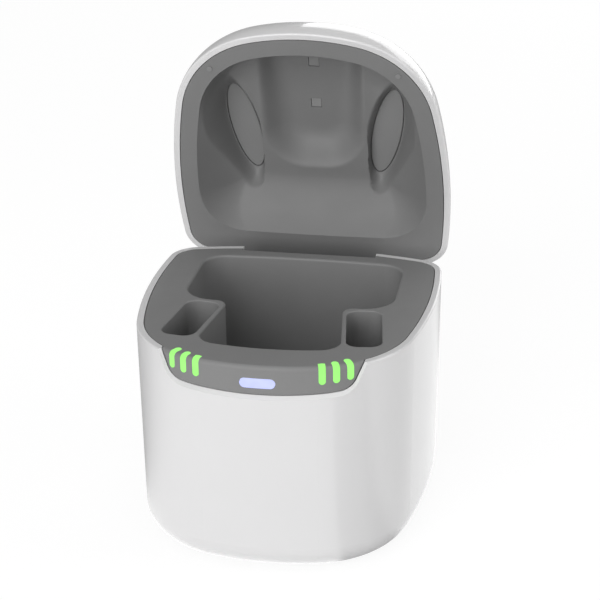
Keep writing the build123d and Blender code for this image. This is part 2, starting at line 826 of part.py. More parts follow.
with BuildPart() as indicator_leds:
    with BuildSketch(Plane.XZ.offset(-indicator_board_y)):
        with Locations(*led_points):
            Rectangle(led_width, led_width)
    extrude(amount=led_height)

with BuildPart() as indicator_screws:
    with Locations(*[Location((x, indicator_board_back_y, z), (90, 0, 0)) for x, z in boss_points]):
        add(
            screw(
                small_screw_radius,
                indicator_screw_length,
                small_screw_head_radius,
                small_screw_head_height,
            )
        )

# --- Main board with its parts ----------------------------------------------------------
with BuildPart() as main_board:
    with BuildSketch(Plane.XY.offset(board_z)):
        add(rim_outline(board_inset))
        with Locations((0, board_front_y)):
            Rectangle(
                body_width, body_depth, align=(Align.CENTER, Align.MAX), mode=Mode.SUBTRACT
            )
        with Locations((0, fan_centre_y)):
            Circle(fan_size / 2, mode=Mode.SUBTRACT)
        with Locations(*post_points):
            Circle(screw_radius + screw_gap, mode=Mode.SUBTRACT)
    extrude(amount=board_thickness)

with BuildPart() as board_parts:
    for place, length, width, height in zip(chip_places, chip_lengths, chip_widths, chip_heights):
        with BuildSketch(Plane.XY.offset(board_top_z)):
            with Locations(place):
                Rectangle(length, width)
        extrude(amount=height)
    for place, radius, height in zip(can_places, can_radii, can_heights):
        with BuildSketch(Plane.XY.offset(board_top_z)):
            with Locations(place):
                Circle(radius)
        extrude(amount=height)

with BuildPart() as case_screws:
    with Locations(*[(x, y, screw_seat_z) for x, y in post_points]):
        add(
            screw(
                screw_radius,
                board_top_z + screw_grip - screw_seat_z,
                screw_head_radius,
                screw_head_height,
            )
        )

# --- Power socket -----------------------------------------------------------------------
with BuildPart() as power_socket_shell:
    with BuildSketch(Plane.XZ.offset(-socket_mouth_y)):
        with Locations((0, socket_z)):
            SlotOverall(socket_width, socket_height)
    extrude(amount=socket_depth)
    with BuildSketch(Plane.XZ.offset(-socket_mouth_y)):
        with Locations((0, socket_z)):
            SlotOverall(socket_width - 2 * socket_skin, socket_height - 2 * socket_skin)
    extrude(amount=socket_depth - socket_back, mode=Mode.SUBTRACT)

with BuildPart() as power_socket_tongue:
    with BuildSketch(Plane.XZ.offset(socket_depth - socket_back - socket_mouth_y)):
        with Locations((0, socket_z)):
            Rectangle(tongue_width, tongue_height)
    extrude(amount=-tongue_length)

# --- Charging coils under the pockets ----------------------------------------------------
with BuildPart() as charge_coils:
    with BuildSketch(Plane.XY.offset(pocket_under_z)):
        for side in (-1, 1):
            with Locations((side * pocket_centre[0], pocket_centre[1])):
                Circle(coil_radius)
                Circle(coil_bore_radius, mode=Mode.SUBTRACT)
    extrude(amount=-coil_thickness)

with BuildPart() as ferrite_sheets:
    with BuildSketch(Plane.XY.offset(pocket_under_z - coil_thickness)):
        for side in (-1, 1):
            place = (side * pocket_centre[0], pocket_centre[1], 0)
            with Locations(Location(place, (0, 0, side * pocket_angle))):
                Rectangle(ferrite_size, ferrite_size)
    extrude(amount=-ferrite_thickness)

# --- Heater and fan ---------------------------------------------------------------------
with BuildPart() as heater_plate:
    with BuildSketch(Plane.XY.offset(heater_z)):
        for side in (-1, 1):
            with Locations((0, fan_centre_y + side * (heater_length - heater_bar) / 2)):
                Rectangle(heater_width, heater_bar)
        with Locations((0, fan_centre_y)):
            with GridLocations(
                (heater_width - heater_fin_width) / (heater_fins - 1), 0, heater_fins, 1
            ):
                Rectangle(heater_fin_width, heater_length - heater_bar)
    extrude(amount=heater_height)

with BuildPart() as fan_frame:
    with BuildSketch(Plane.XY.offset(fan_z)):
        with Locations((0, fan_centre_y)):
            RectangleRounded(fan_size, fan_size, fan_corner_radius)
            Circle(fan_bore_radius, mode=Mode.SUBTRACT)
        add(fan_corners(small_screw_radius + screw_gap), mode=Mode.SUBTRACT)
    extrude(amount=fan_height)
    # hub seat on four struts, with the bearing tube
    with BuildSketch(Plane.XY.offset(fan_z)):
        with Locations((0, fan_centre_y)):
            Circle(fan_hub_radius)
            Rectangle(2 * fan_bore_radius, fan_strut_width)
            Rectangle(fan_strut_width, 2 * fan_bore_radius)
    extrude(amount=fan_floor)
    with BuildSketch(Plane.XY.offset(fan_z + fan_floor)):
        with Locations((0, fan_centre_y)):
            Circle(fan_bearing_radius)
    extrude(amount=fan_bearing_height - fan_floor)
    with BuildSketch(Plane.XY.offset(fan_z + fan_floor / 2)):
        with Locations((0, fan_centre_y)):
            Circle(fan_shaft_radius + fan_shaft_gap)
    extrude(amount=fan_bearing_height, mode=Mode.SUBTRACT)

with BuildPart() as fan_rotor:
    # pitched blades, trimmed to a ring
    blade_radius = fan_bore_radius - fan_tip_gap
    with Locations((0, fan_centre_y, fan_z + (fan_floor + fan_height) / 2)):
        with PolarLocations((fan_hub_radius + blade_radius) / 2, fan_blades):
            Box(
                blade_radius,
                fan_blade_skin,
                2 * fan_height,
                rotation=(fan_blade_tilt, 0, 0),
            )
    with BuildSketch(Plane.XY.offset(fan_z + fan_floor + fan_hub_gap)):
        with Locations((0, fan_centre_y)):
            Circle(blade_radius)
    extrude(amount=fan_height - fan_floor - 2 * fan_hub_gap, mode=Mode.INTERSECT)
    # cup of the hub, open below, with the shaft
    with BuildSketch(Plane.XY.offset(fan_z + fan_floor + fan_hub_gap)):
        with Locations((0, fan_centre_y)):
            Circle(fan_hub_radius)
    extrude(amount=fan_height - fan_floor - 2 * fan_hub_gap)
    with BuildSketch(Plane.XY.offset(fan_z + fan_floor + fan_hub_gap)):
        with Locations((0, fan_centre_y)):
            Circle(fan_hub_radius - fan_hub_skin)
    extrude(amount=fan_height - fan_floor - 2 * fan_hub_gap - fan_hub_skin, mode=Mode.SUBTRACT)
    with BuildSketch(Plane.XY.offset(fan_z + fan_floor)):
        with Locations((0, fan_centre_y)):
            Circle(fan_shaft_radius)
    extrude(amount=fan_height - fan_floor - 2 * fan_hub_gap)

with BuildPart() as fan_screws:
    with Locations((0, fan_centre_y, fan_z)):
        with GridLocations(fan_screw_pitch, fan_screw_pitch, 2, 2):
            add(
                screw(
                    small_screw_radius,
                    fan_height + heater_height - cavity_wall / 2,
                    small_screw_head_radius,
                    small_screw_head_height,
                )
            )

# --- Mat and hinge pin ------------------------------------------------------------------
with BuildPart() as foot_mat:
    with BuildSketch(Plane.XY):
        add(mat_outline())
    extrude(amount=foot_lift + mat_recess)

with BuildPart() as hinge_pin:
    with BuildSketch(Plane.YZ):
        with Locations((hinge_y, hinge_z)):
            Circle(pin_radius)
    extrude(amount=ear_outer, both=True)

# --- Lid --------------------------------------------------------------------------------
with BuildPart() as lid_shell:
    loft(dome_sections(rim_outline(), lid_plane, lid_height, lid_top_scale))
    fillet(lid_shell.faces().sort_by(Axis((0, 0, 0), lid_plane.z_dir))[0].edges(), lid_rim_round)
    with BuildSketch(lid_plane):
        add(rim_outline(lid_wall))
    extrude(amount=liner_flange, mode=Mode.SUBTRACT)
    loft(
        dome_sections(
            rim_outline(lid_wall + lid_ledge),
            lid_plane.offset(liner_flange),
            lid_height - lid_wall - liner_flange,
            lid_top_scale,
        ),
        mode=Mode.SUBTRACT,
    )

with BuildPart() as lid_liner:
    with BuildSketch(lid_plane):
        add(rim_outline(lid_wall + tray_gap))
    extrude(amount=liner_flange)
    loft(
        dome_sections(
            dish_outline(liner_skin), lid_plane, dish_depth + liner_skin, dish_top_scale
        )
    )
    loft(bowl_sections(liner_skin))
    for side in (-1, 1):
        loft(scoop_sections(side, liner_skin))
    loft(dome_sections(dish_outline(), lid_plane, dish_depth, dish_top_scale), mode=Mode.SUBTRACT)
    loft(bowl_sections(), mode=Mode.SUBTRACT)
    for side in (-1, 1):
        loft(scoop_sections(side), mode=Mode.SUBTRACT)
    # bosses for the lamp board, and the two window openings
    with BuildSketch(lid_plane.offset(bowl_depth + liner_skin)):
        with Locations(lamp_boss_place):
            Circle(lamp_boss_radius)
    extrude(amount=lamp_height)
    with BuildSketch(lid_plane.offset(bowl_depth)):
        with Locations(*[(0, y) for y in window_places]):
            Rectangle(window_size, window_size)
    extrude(amount=2 * liner_skin, mode=Mode.SUBTRACT)
    # notch for the arm's neck
    with BuildSketch(lid_plane):
        with Locations((0, arm_front_y - arm_side_gap)):
            Rectangle(
                2 * (arm_foot_half_width + arm_side_gap),
                body_depth,
                align=(Align.CENTER, Align.MIN),
            )
    extrude(amount=liner_flange, mode=Mode.SUBTRACT)
    # pilot holes for the arm's screws
    with BuildSketch(lid_plane.offset(liner_flange)):
        with Locations(*arm_screw_points):
            Circle(small_screw_radius)
    extrude(amount=-arm_foot_thickness, mode=Mode.SUBTRACT)


# --- Lid: pads, windows, lamp board, bumpers and arm ------------------------------------
with BuildPart() as right_lid_pad:
    with BuildSketch(scoop_plane(1).offset(scoop_depth)):
        Ellipse(pad_width / 2, pad_length / 2)
    extrude(amount=-pad_thickness)

with BuildPart() as left_lid_pad:
    mirror(right_lid_pad.part, about=Plane.YZ)

with BuildPart() as front_window:
    with BuildSketch(lid_plane.offset(bowl_depth + liner_skin)):
        with Locations((0, window_places[0])):
            Rectangle(window_size, window_size)
    extrude(amount=window_sink - liner_skin)

with BuildPart() as rear_window:
    with BuildSketch(lid_plane.offset(bowl_depth + liner_skin)):
        with Locations((0, window_places[1])):
            Rectangle(window_size, window_size)
    extrude(amount=window_sink - liner_skin)

with BuildPart() as lamp_board:
    with BuildSketch(lid_plane.offset(bowl_depth + liner_skin + lamp_height)):
        with Locations(lamp_boss_place):
            Rectangle(lamp_board_width, lamp_board_length)
    extrude(amount=lamp_board_thickness)

with BuildPart() as lamp_leds:
    with BuildSketch(lid_plane.offset(bowl_depth + liner_skin)):
        with Locations(*[(0, y) for y in window_places]):
            Rectangle(lamp_size, lamp_size)
    extrude(amount=lamp_height)

with BuildPart() as flange_bumpers:
    with BuildSketch(lid_plane):
        with Locations(bumper_place, (-bumper_place[0], bumper_place[1])):
            Circle(bumper_radius)
    extrude(amount=-bumper_height)

with BuildPart() as hinge_arm:
    # barrel on the pin and web up to the wide plate
    with BuildSketch(arm_plane):
        Circle(barrel_radius)
        with Locations((arm_front_y - hinge_y, 0)):
            Rectangle(arm_thickness, hinge_drop, align=(Align.MIN, Align.MIN))
        Circle(pin_radius + pin_gap, mode=Mode.SUBTRACT)
    extrude(amount=barrel_half, both=True)
    with BuildSketch(arm_plane):
        with Locations((arm_front_y - hinge_y, arm_lift)):
            Rectangle(
                arm_thickness, hinge_drop + seam_gap - arm_lift, align=(Align.MIN, Align.MIN)
            )
    extrude(amount=ear_outer, both=True)
    # neck and foot inside the lid
    with BuildSketch(lid_plane):
        add(rim_outline(lid_wall + lid_ledge + arm_side_gap))
        with Locations((0, arm_back_y)):
            Rectangle(
                2 * arm_foot_half_width,
                arm_thickness,
                align=(Align.CENTER, Align.MAX),
                mode=Mode.INTERSECT,
            )
    extrude(amount=liner_flange + arm_foot_thickness)
    with BuildSketch(lid_plane.offset(liner_flange)):
        add(rim_outline(lid_wall + lid_ledge + arm_side_gap))
        with Locations((0, arm_back_y)):
            Rectangle(
                2 * arm_foot_half_width,
                arm_foot_length,
                align=(Align.CENTER, Align.MAX),
                mode=Mode.INTERSECT,
            )
    extrude(amount=arm_foot_thickness)
    with BuildSketch(lid_plane.offset(liner_flange)):
        with Locations(*arm_screw_points):
            Circle(small_screw_radius + screw_gap)
    extrude(amount=arm_foot_thickness, mode=Mode.SUBTRACT)

with BuildPart() as arm_screws:
    with Locations(
        *[
            lid_plane.location
            * Location((x, y, liner_flange + arm_foot_thickness), (180, 0, 0))
            for x, y in arm_screw_points
        ]
    ):
        add(
            screw(
                small_screw_radius,
                2 * arm_foot_thickness,
                small_screw_head_radius,
                small_screw_head_height,
            )
        )

# --- Files ------------------------------------------------------------------------------
os.makedirs("parts", exist_ok=True)

outer_housing.part.label = "outer_housing"
export_step(outer_housing.part, "parts/outer_housing.step")

top_deck.part.label = "top_deck"
export_step(top_deck.part, "parts/top_deck.step")

foot_mat.part.label = "foot_mat"
export_step(foot_mat.part, "parts/foot_mat.step")

left_light_bars.part.label = "left_light_bars"
export_step(left_light_bars.part, "parts/left_light_bars.step")

right_light_bars.part.label = "right_light_bars"
export_step(right_light_bars.part, "parts/right_light_bars.step")

status_button.part.label = "status_button"
export_step(status_button.part, "parts/status_button.step")

switch_plunger.part.label = "switch_plunger"
export_step(switch_plunger.part, "parts/switch_plunger.step")

tact_switch.part.label = "tact_switch"
export_step(tact_switch.part, "parts/tact_switch.step")

indicator_board.part.label = "indicator_board"
export_step(indicator_board.part, "parts/indicator_board.step")

indicator_leds.part.label = "indicator_leds"
export_step(indicator_leds.part, "parts/indicator_leds.step")

indicator_screws.part.label = "indicator_screws"
export_step(indicator_screws.part, "parts/indicator_screws.step")

main_board.part.label = "main_board"
export_step(main_board.part, "parts/main_board.step")

board_parts.part.label = "board_parts"
export_step(board_parts.part, "parts/board_parts.step")

case_screws.part.label = "case_screws"
export_step(case_screws.part, "parts/case_screws.step")

power_socket_shell.part.label = "power_socket_shell"
export_step(power_socket_shell.part, "parts/power_socket_shell.step")

power_socket_tongue.part.label = "power_socket_tongue"
export_step(power_socket_tongue.part, "parts/power_socket_tongue.step")

charge_coils.part.label = "charge_coils"
export_step(charge_coils.part, "parts/charge_coils.step")

ferrite_sheets.part.label = "ferrite_sheets"
export_step(ferrite_sheets.part, "parts/ferrite_sheets.step")

heater_plate.part.label = "heater_plate"
export_step(heater_plate.part, "parts/heater_plate.step")

fan_frame.part.label = "fan_frame"
export_step(fan_frame.part, "parts/fan_frame.step")

fan_rotor.part.label = "fan_rotor"
export_step(fan_rotor.part, "parts/fan_rotor.step")

fan_screws.part.label = "fan_screws"
export_step(fan_screws.part, "parts/fan_screws.step")

hinge_pin.part.label = "hinge_pin"
export_step(hinge_pin.part, "parts/hinge_pin.step")

lid_shell.part.label = "lid_shell"
export_step(lid_shell.part, "parts/lid_shell.step")

lid_liner.part.label = "lid_liner"
export_step(lid_liner.part, "parts/lid_liner.step")

left_lid_pad.part.label = "left_lid_pad"
export_step(left_lid_pad.part, "parts/left_lid_pad.step")

right_lid_pad.part.label = "right_lid_pad"
export_step(right_lid_pad.part, "parts/right_lid_pad.step")

front_window.part.label = "front_window"
export_step(front_window.part, "parts/front_window.step")

rear_window.part.label = "rear_window"
export_step(rear_window.part, "parts/rear_window.step")

lamp_board.part.label = "lamp_board"
export_step(lamp_board.part, "parts/lamp_board.step")

lamp_leds.part.label = "lamp_leds"
export_step(lamp_leds.part, "parts/lamp_leds.step")

flange_bumpers.part.label = "flange_bumpers"
export_step(flange_bumpers.part, "parts/flange_bumpers.step")

hinge_arm.part.label = "hinge_arm"
export_step(hinge_arm.part, "parts/hinge_arm.step")

arm_screws.part.label = "arm_screws"
export_step(arm_screws.part, "parts/arm_screws.step")
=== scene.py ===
"""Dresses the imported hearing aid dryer: case, tray, lid, lights and a small studio.

Sizes of the object's own pieces are in millimetres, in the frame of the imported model, and turn
into metres where a mesh is made.
"""

import logging
import math
from dataclasses import dataclass, field, replace
from enum import Enum
from typing import Any, Iterable, Sequence

import bpy
import numpy as np
from mathutils import Matrix, Vector

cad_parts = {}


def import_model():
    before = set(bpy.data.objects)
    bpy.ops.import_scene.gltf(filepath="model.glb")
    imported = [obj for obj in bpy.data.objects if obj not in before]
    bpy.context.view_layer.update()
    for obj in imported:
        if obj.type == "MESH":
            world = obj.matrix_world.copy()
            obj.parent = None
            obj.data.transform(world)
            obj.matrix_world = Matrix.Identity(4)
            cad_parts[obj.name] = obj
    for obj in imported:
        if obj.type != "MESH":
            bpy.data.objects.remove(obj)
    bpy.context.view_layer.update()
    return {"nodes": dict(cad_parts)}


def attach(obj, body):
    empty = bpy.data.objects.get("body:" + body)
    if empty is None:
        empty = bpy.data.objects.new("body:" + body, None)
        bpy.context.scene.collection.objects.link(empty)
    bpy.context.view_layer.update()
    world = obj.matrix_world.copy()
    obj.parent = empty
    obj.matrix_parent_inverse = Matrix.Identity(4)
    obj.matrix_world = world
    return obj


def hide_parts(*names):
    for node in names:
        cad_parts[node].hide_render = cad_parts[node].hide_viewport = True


log = logging.getLogger("dryer")

MM = 0.001
LEAST_SHARE = 1e-6
LEAST_UPRIGHT = 1e-9


# --- Shader tools -------------------------------------------------------------------------
class Value:
    """A socket that carries a number, on which Python's operators add Math nodes."""

    def __init__(self, graph: "Graph", socket: bpy.types.NodeSocket) -> None:
        """Wraps one output socket of a graph."""
        self.graph = graph
        self.socket = socket

    def _math(self, operation: str, first: Any, second: Any = None) -> "Value":
        """Adds one Math node.

        Args:
            operation: The Math node's operation.
            first: Its first value or link.
            second: Its second value or link, if it takes one.

        Returns:
            The node's result.
        """
        inputs = {0: first} if second is None else {0: first, 1: second}
        return self.graph.value("ShaderNodeMath", {"operation": operation}, inputs)

    def __add__(self, other: Any) -> "Value":
        """Sum."""
        return self._math("ADD", self, other)

    def __radd__(self, other: Any) -> "Value":
        """Sum, from the right."""
        return self._math("ADD", other, self)

    def __sub__(self, other: Any) -> "Value":
        """Difference."""
        return self._math("SUBTRACT", self, other)

    def __rsub__(self, other: Any) -> "Value":
        """Difference, from the right."""
        return self._math("SUBTRACT", other, self)

    def __mul__(self, other: Any) -> "Value":
        """Product."""
        return self._math("MULTIPLY", self, other)

    def __rmul__(self, other: Any) -> "Value":
        """Product, from the right."""
        return self._math("MULTIPLY", other, self)

    def __truediv__(self, other: Any) -> "Value":
        """Quotient."""
        return self._math("DIVIDE", self, other)

    def smooth(self, low: float, high: float) -> "Value":
        """Rises smoothly from 0 to 1.

        Args:
            low: Where it starts to rise.
            high: Where it ends.

        Returns:
            The result.
        """
        settings = {"interpolation_type": "SMOOTHSTEP"}
        inputs = {"Value": self, "From Min": low, "From Max": high}
        return self.graph.value("ShaderNodeMapRange", settings, inputs)


class Graph:
    """The nodes of one material."""

    def __init__(self, name: str) -> None:
        """Makes an empty material with an output.

        Args:
            name: The material's name.
        """
        self.material = bpy.data.materials.new(name)
        self.material.use_nodes = True
        self.tree = self.material.node_tree
        self.tree.nodes.clear()
        self.output = self.tree.nodes.new("ShaderNodeOutputMaterial")

    def node(
        self,
        kind: str,
        settings: dict[str, Any] | None = None,
        inputs: dict[Any, Any] | None = None,
    ) -> bpy.types.Node:
        """Adds any node.

        Args:
            kind: The node's type.
            settings: Properties that are set first; stops is a ramp's list of place and colour.
            inputs: Values or links by the name or the number of their sockets.

        Returns:
            The node.
        """
        made = self.tree.nodes.new(kind)
        for key, setting in (settings or {}).items():
            if key == "stops":
                self._stops(made.color_ramp, setting)
            else:
                setattr(made, key, setting)
        for key, given in (inputs or {}).items():
            if isinstance(given, Value):
                given = given.socket
            if isinstance(given, bpy.types.NodeSocket):
                self.tree.links.new(given, made.inputs[key])
            else:
                made.inputs[key].default_value = given
        return made

    @staticmethod
    def _stops(ramp: bpy.types.ColorRamp, stops: Sequence[tuple[float, Sequence[float]]]) -> None:
        """Sets the stops of a colour ramp.

        Args:
            ramp: The ramp.
            stops: Its stops, each a place from 0 to 1 and a colour.
        """
        while len(ramp.elements) < len(stops):
            ramp.elements.new(1.0)
        for element, (place, colour) in zip(ramp.elements, stops):
            element.position = place
            element.color = colour

    def value(
        self,
        kind: str,
        settings: dict[str, Any] | None = None,
        inputs: dict[Any, Any] | None = None,
        output: Any = 0,
    ) -> Value:
        """Adds a node and returns one of its outputs, ready for arithmetic."""
        return Value(self, self.node(kind, settings, inputs).outputs[output])

    def place(self) -> bpy.types.NodeSocket:
        """Place on the piece, in metres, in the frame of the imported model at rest."""
        return self.node("ShaderNodeTexCoord").outputs["Object"]

    def noise(self, size: float, detail: float = 3.0, roughness: float = 0.5) -> Value:
        """Adds noise.

        Args:
            size: How far across its features are, in metres.
            detail: How many finer layers it has.
            roughness: How strong the finer layers are.

        Returns:
            The noise, from 0 to 1.
        """
        inputs = {
            "Vector": self.place(),
            "Scale": 1.0 / size,
            "Detail": detail,
            "Roughness": roughness,
        }
        return self.value("ShaderNodeTexNoise", None, inputs, "Fac")

    def blend(self, mask: Value, low: "Colour | bpy.types.NodeSocket", high: "Colour") -> Any:
        """Mixes two colours.

        Args:
            mask: Where the second colour shows.
            low: The colour where the mask is 0.
            high: The colour where the mask is 1.

        Returns:
            The mixed colour's socket.
        """
        inputs = {"Factor": mask, 6: low, 7: high}
        node = self.node("ShaderNodeMix", {"data_type": "RGBA"}, inputs)
        return node.outputs[2]

    def bump(self, height: Value, depth: float, strength: float = 1.0) -> bpy.types.NodeSocket:
        """Turns a height of 0 to 1 into a normal, for relief of this depth in metres."""
        inputs = {"Height": height, "Distance": depth, "Strength": strength}
        return self.node("ShaderNodeBump", None, inputs).outputs["Normal"]

    def finish(self, shader: bpy.types.Node) -> bpy.types.Material:
        """Links the shader to the output and returns the material."""
        self.tree.links.new(shader.outputs[0], self.output.inputs["Surface"])
        return self.material


Colour = tuple[float, float, float, float]


def grey(level: int, tint: Sequence[float] = (1.0, 1.0, 1.0)) -> Colour:
    """Turns a display grey into a linear colour.

    Args:
        level: The grey, from 0 to 255.
        tint: What each channel is multiplied by.

    Returns:
        The colour.
    """
    share = level / 255
    linear = share / 12.92 if share <= 0.04045 else ((share + 0.055) / 1.055) ** 2.4
    return (linear * tint[0], linear * tint[1], linear * tint[2], 1.0)


def shade(colour: Colour, factor: float) -> Colour:
    """The same colour, lighter or darker."""
    return (colour[0] * factor, colour[1] * factor, colour[2] * factor, 1.0)


# --- Finishes -----------------------------------------------------------------------------
@dataclass(frozen=True)
class Moulded:
    """Moulded plastic with a fine surface grain, faint mottling and slightly uneven gloss."""

    name: str
    colour: Colour
    roughness: float = 0.4
    grain_size: float = 0.00025
    grain_depth: float = 0.00001
    mottle_size: float = 0.012
    mottle: float = 0.02
    coat: float = 0.0
    coat_roughness: float = 0.1
    specular: float = 0.5
    speck_ratio: float = 2.5
    speck_share: float = 0.35
    tone_range: tuple[float, float] = (0.35, 1.0)
    wave_ratio: float = 0.6
    gloss_swing: float = 0.25

    def build(self) -> bpy.types.Material:
        """Builds the material.

        Returns:
            The material.
        """
        graph = Graph(self.name)
        cloud = graph.noise(self.mottle_size, 4.0)
        speck = graph.noise(self.grain_size * self.speck_ratio, 2.0)
        tone = (cloud + self.speck_share * speck).smooth(*self.tone_range)
        colour = graph.blend(
            tone, shade(self.colour, 1 - self.mottle), shade(self.colour, 1 + self.mottle)
        )
        grain = graph.noise(self.grain_size, 2.0, 0.6)
        wave = graph.noise(self.mottle_size * self.wave_ratio, 2.0)
        rough = (wave - 0.5) * (self.roughness * self.gloss_swing) + self.roughness
        shader = graph.node(
            "ShaderNodeBsdfPrincipled",
            None,
            {
                "Base Color": colour,
                "Roughness": rough,
                "Normal": graph.bump(grain, self.grain_depth),
                "Coat Weight": self.coat,
                "Coat Roughness": self.coat_roughness,
                "Specular IOR Level": self.specular,
            },
        )
        return graph.finish(shader)


@dataclass(frozen=True)
class Lit:
    """Frosted plastic, lit from behind, its glow and colour a little uneven in soft clouds."""

    name: str
    glow: Colour
    strength: float = 1.0
    unevenness: float = 0.03
    cloud_size: float = 0.003
    cloud_range: tuple[float, float] = (0.3, 0.7)
    unlit_shades: tuple[float, float] = (0.10, 0.12)
    roughness: float = 0.4
    gloss_swing: float = 0.1
    grain_ratio: float = 0.1
    grain_depth: float = 0.000005
    specular: float = 0.3

    def build(self) -> bpy.types.Material:
        """Builds the material.

        Returns:
            The material.
        """
        graph = Graph(self.name)
        cloud = graph.noise(self.cloud_size, 2.0).smooth(*self.cloud_range)
        glow = graph.blend(
            cloud, shade(self.glow, 1 - self.unevenness), shade(self.glow, 1 + self.unevenness)
        )
        low, high = self.unlit_shades
        grain = graph.noise(self.cloud_size * self.grain_ratio, 2.0)
        shader = graph.node(
            "ShaderNodeBsdfPrincipled",
            None,
            {
                "Base Color": graph.blend(cloud, shade(self.glow, low), shade(self.glow, high)),
                "Roughness": grain * self.gloss_swing + self.roughness,
                "Specular IOR Level": self.specular,
                "Emission Color": glow,
                "Emission Strength": self.strength,
                "Normal": graph.bump(grain, self.grain_depth),
            },
        )
        return graph.finish(shader)


@dataclass(frozen=True)
class Metal:
    """Metal with fine lines along one axis and slightly uneven gloss."""

    name: str
    colour: Colour
    roughness: float = 0.3
    lines: tuple[float, float, float] = (1.0, 1.0, 12.0)
    line_size: float = 0.0008
    line_depth: float = 0.000004
    shades: tuple[float, float] = (0.9, 1.08)
    gloss_swing: float = 0.12

    def build(self) -> bpy.types.Material:
        """Builds the material.

        Returns:
            The material.
        """
        graph = Graph(self.name)
        stretched = graph.node(
            "ShaderNodeMapping", None, {"Vector": graph.place(), "Scale": self.lines}
        ).outputs[0]
        lines = graph.value(
            "ShaderNodeTexNoise",
            None,
            {"Vector": stretched, "Scale": 1.0 / self.line_size, "Detail": 3.0},
            "Fac",
        )
        low, high = self.shades
        colour = graph.blend(lines, shade(self.colour, low), shade(self.colour, high))
        shader = graph.node(
            "ShaderNodeBsdfPrincipled",
            None,
            {
                "Base Color": colour,
                "Metallic": 1.0,
                "Roughness": lines * self.gloss_swing + (self.roughness - self.gloss_swing / 2),
                "Normal": graph.bump(lines, self.line_depth),
            },
        )
        return graph.finish(shader)


@dataclass(frozen=True)
class BoardMask:
    """Solder mask with tracks that show through as slightly lighter lines."""

    name: str
    colour: Colour
    track_size: float = 0.0016
    track_depth: float = 0.00002
    track_range: tuple[float, float] = (0.04, 0.08)
    track_shade: float = 1.7
    track_gloss: float = 0.1
    cell_tracks: float = 3.0
    randomness: float = 0.4
    roughness: float = 0.42

    def build(self) -> bpy.types.Material:
        """Builds the material.

        Returns:
            The material.
        """
        graph = Graph(self.name)
        cells = graph.value(
            "ShaderNodeTexVoronoi",
            {"feature": "DISTANCE_TO_EDGE", "distance": "EUCLIDEAN"},
            {
                "Vector": graph.place(),
                "Scale": 1.0 / (self.track_size * self.cell_tracks),
                "Randomness": self.randomness,
            },
        )
        tracks = 1 - cells.smooth(*self.track_range)
        colour = graph.blend(tracks, self.colour, shade(self.colour, self.track_shade))
        shader = graph.node(
            "ShaderNodeBsdfPrincipled",
            None,
            {
                "Base Color": colour,
                "Roughness": self.roughness - tracks * self.track_gloss,
                "Normal": graph.bump(tracks, self.track_depth),
            },
        )
        return graph.finish(shader)


@dataclass(frozen=True)
class Winding:
    """Enamelled wire wound round an upright axis, with painted shade darkening the grooves between
    its turns.
    """

    name: str
    colour: Colour
    wire: float = 0.0003
    ring_share: float = 0.3
    distortion: float = 0.3
    # Share of the colour left in the grooves between the turns: painted shade.
    painted_groove_shade: float = 0.45
    groove_depth: float = 0.00008
    metallic: float = 0.8
    roughness: float = 0.45
    gloss_swing: float = 0.15

    def build(self) -> bpy.types.Material:
        """Builds the material.

        Returns:
            The material.
        """
        graph = Graph(self.name)
        waves = graph.value(
            "ShaderNodeTexWave",
            {"wave_type": "RINGS", "rings_direction": "Z", "wave_profile": "SIN"},
            {
                "Vector": graph.place(),
                "Scale": self.ring_share / self.wire,
                "Distortion": self.distortion,
            },
            "Fac",
        )
        # Painted shade: the colour is darker in the grooves between the turns of wire.
        colour = graph.blend(waves, shade(self.colour, self.painted_groove_shade), self.colour)
        shader = graph.node(
            "ShaderNodeBsdfPrincipled",
            None,
            {
                "Base Color": colour,
                "Metallic": self.metallic,
                "Roughness": self.roughness - waves * self.gloss_swing,
                "Normal": graph.bump(waves, self.groove_depth),
            },
        )
        return graph.finish(shader)


class Finish(Enum):
    """The finishes of the dryer's pieces."""

    WHITE_CASE = Moulded(
        "white_case_finish",
        grey(228, (1.0, 0.995, 1.0)),
        roughness=0.32,
        grain_size=0.0005,
        grain_depth=0.000002,
        mottle=0.006,
        coat=0.8,
        coat_roughness=0.04,
    )
    GREY_TRAY = Moulded("grey_tray_finish", grey(132), roughness=0.55, mottle=0.025)
    GREY_LINER = Moulded("grey_liner_finish", grey(128), roughness=0.55, mottle=0.02)
    DARK_PAD = Moulded("dark_pad_finish", grey(140), roughness=0.6, grain_depth=0.000006)
    RUBBER = Moulded(
        "rubber_finish", grey(70), roughness=0.75, grain_depth=0.00003, mottle=0.05
    )
    GREEN_LIGHT = Lit("green_light_finish", (0.36, 0.96, 0.215, 1.0))
    BUTTON_LIGHT = Lit("button_light_finish", (0.58, 0.63, 1.0, 1.0))
    WINDOW = Moulded("window_finish", grey(150), roughness=0.3, mottle=0.03)
    BLACK_PLASTIC = Moulded("black_plastic_finish", grey(45), roughness=0.5, mottle=0.04)
    FERRITE = Moulded("ferrite_finish", grey(60), roughness=0.7, grain_depth=0.00003)
    BOARD = BoardMask("board_finish", (0.02, 0.14, 0.06, 1.0))
    LED_BODY = Moulded("led_body_finish", (0.75, 0.72, 0.5, 1.0), roughness=0.35)
    STEEL = Metal("steel_finish", (0.6, 0.6, 0.62, 1.0))
    HEATER = Metal("heater_finish", (0.75, 0.75, 0.76, 1.0), 0.35, (12.0, 1.0, 1.0))
    COPPER = Winding("copper_finish", (0.75, 0.36, 0.18, 1.0))


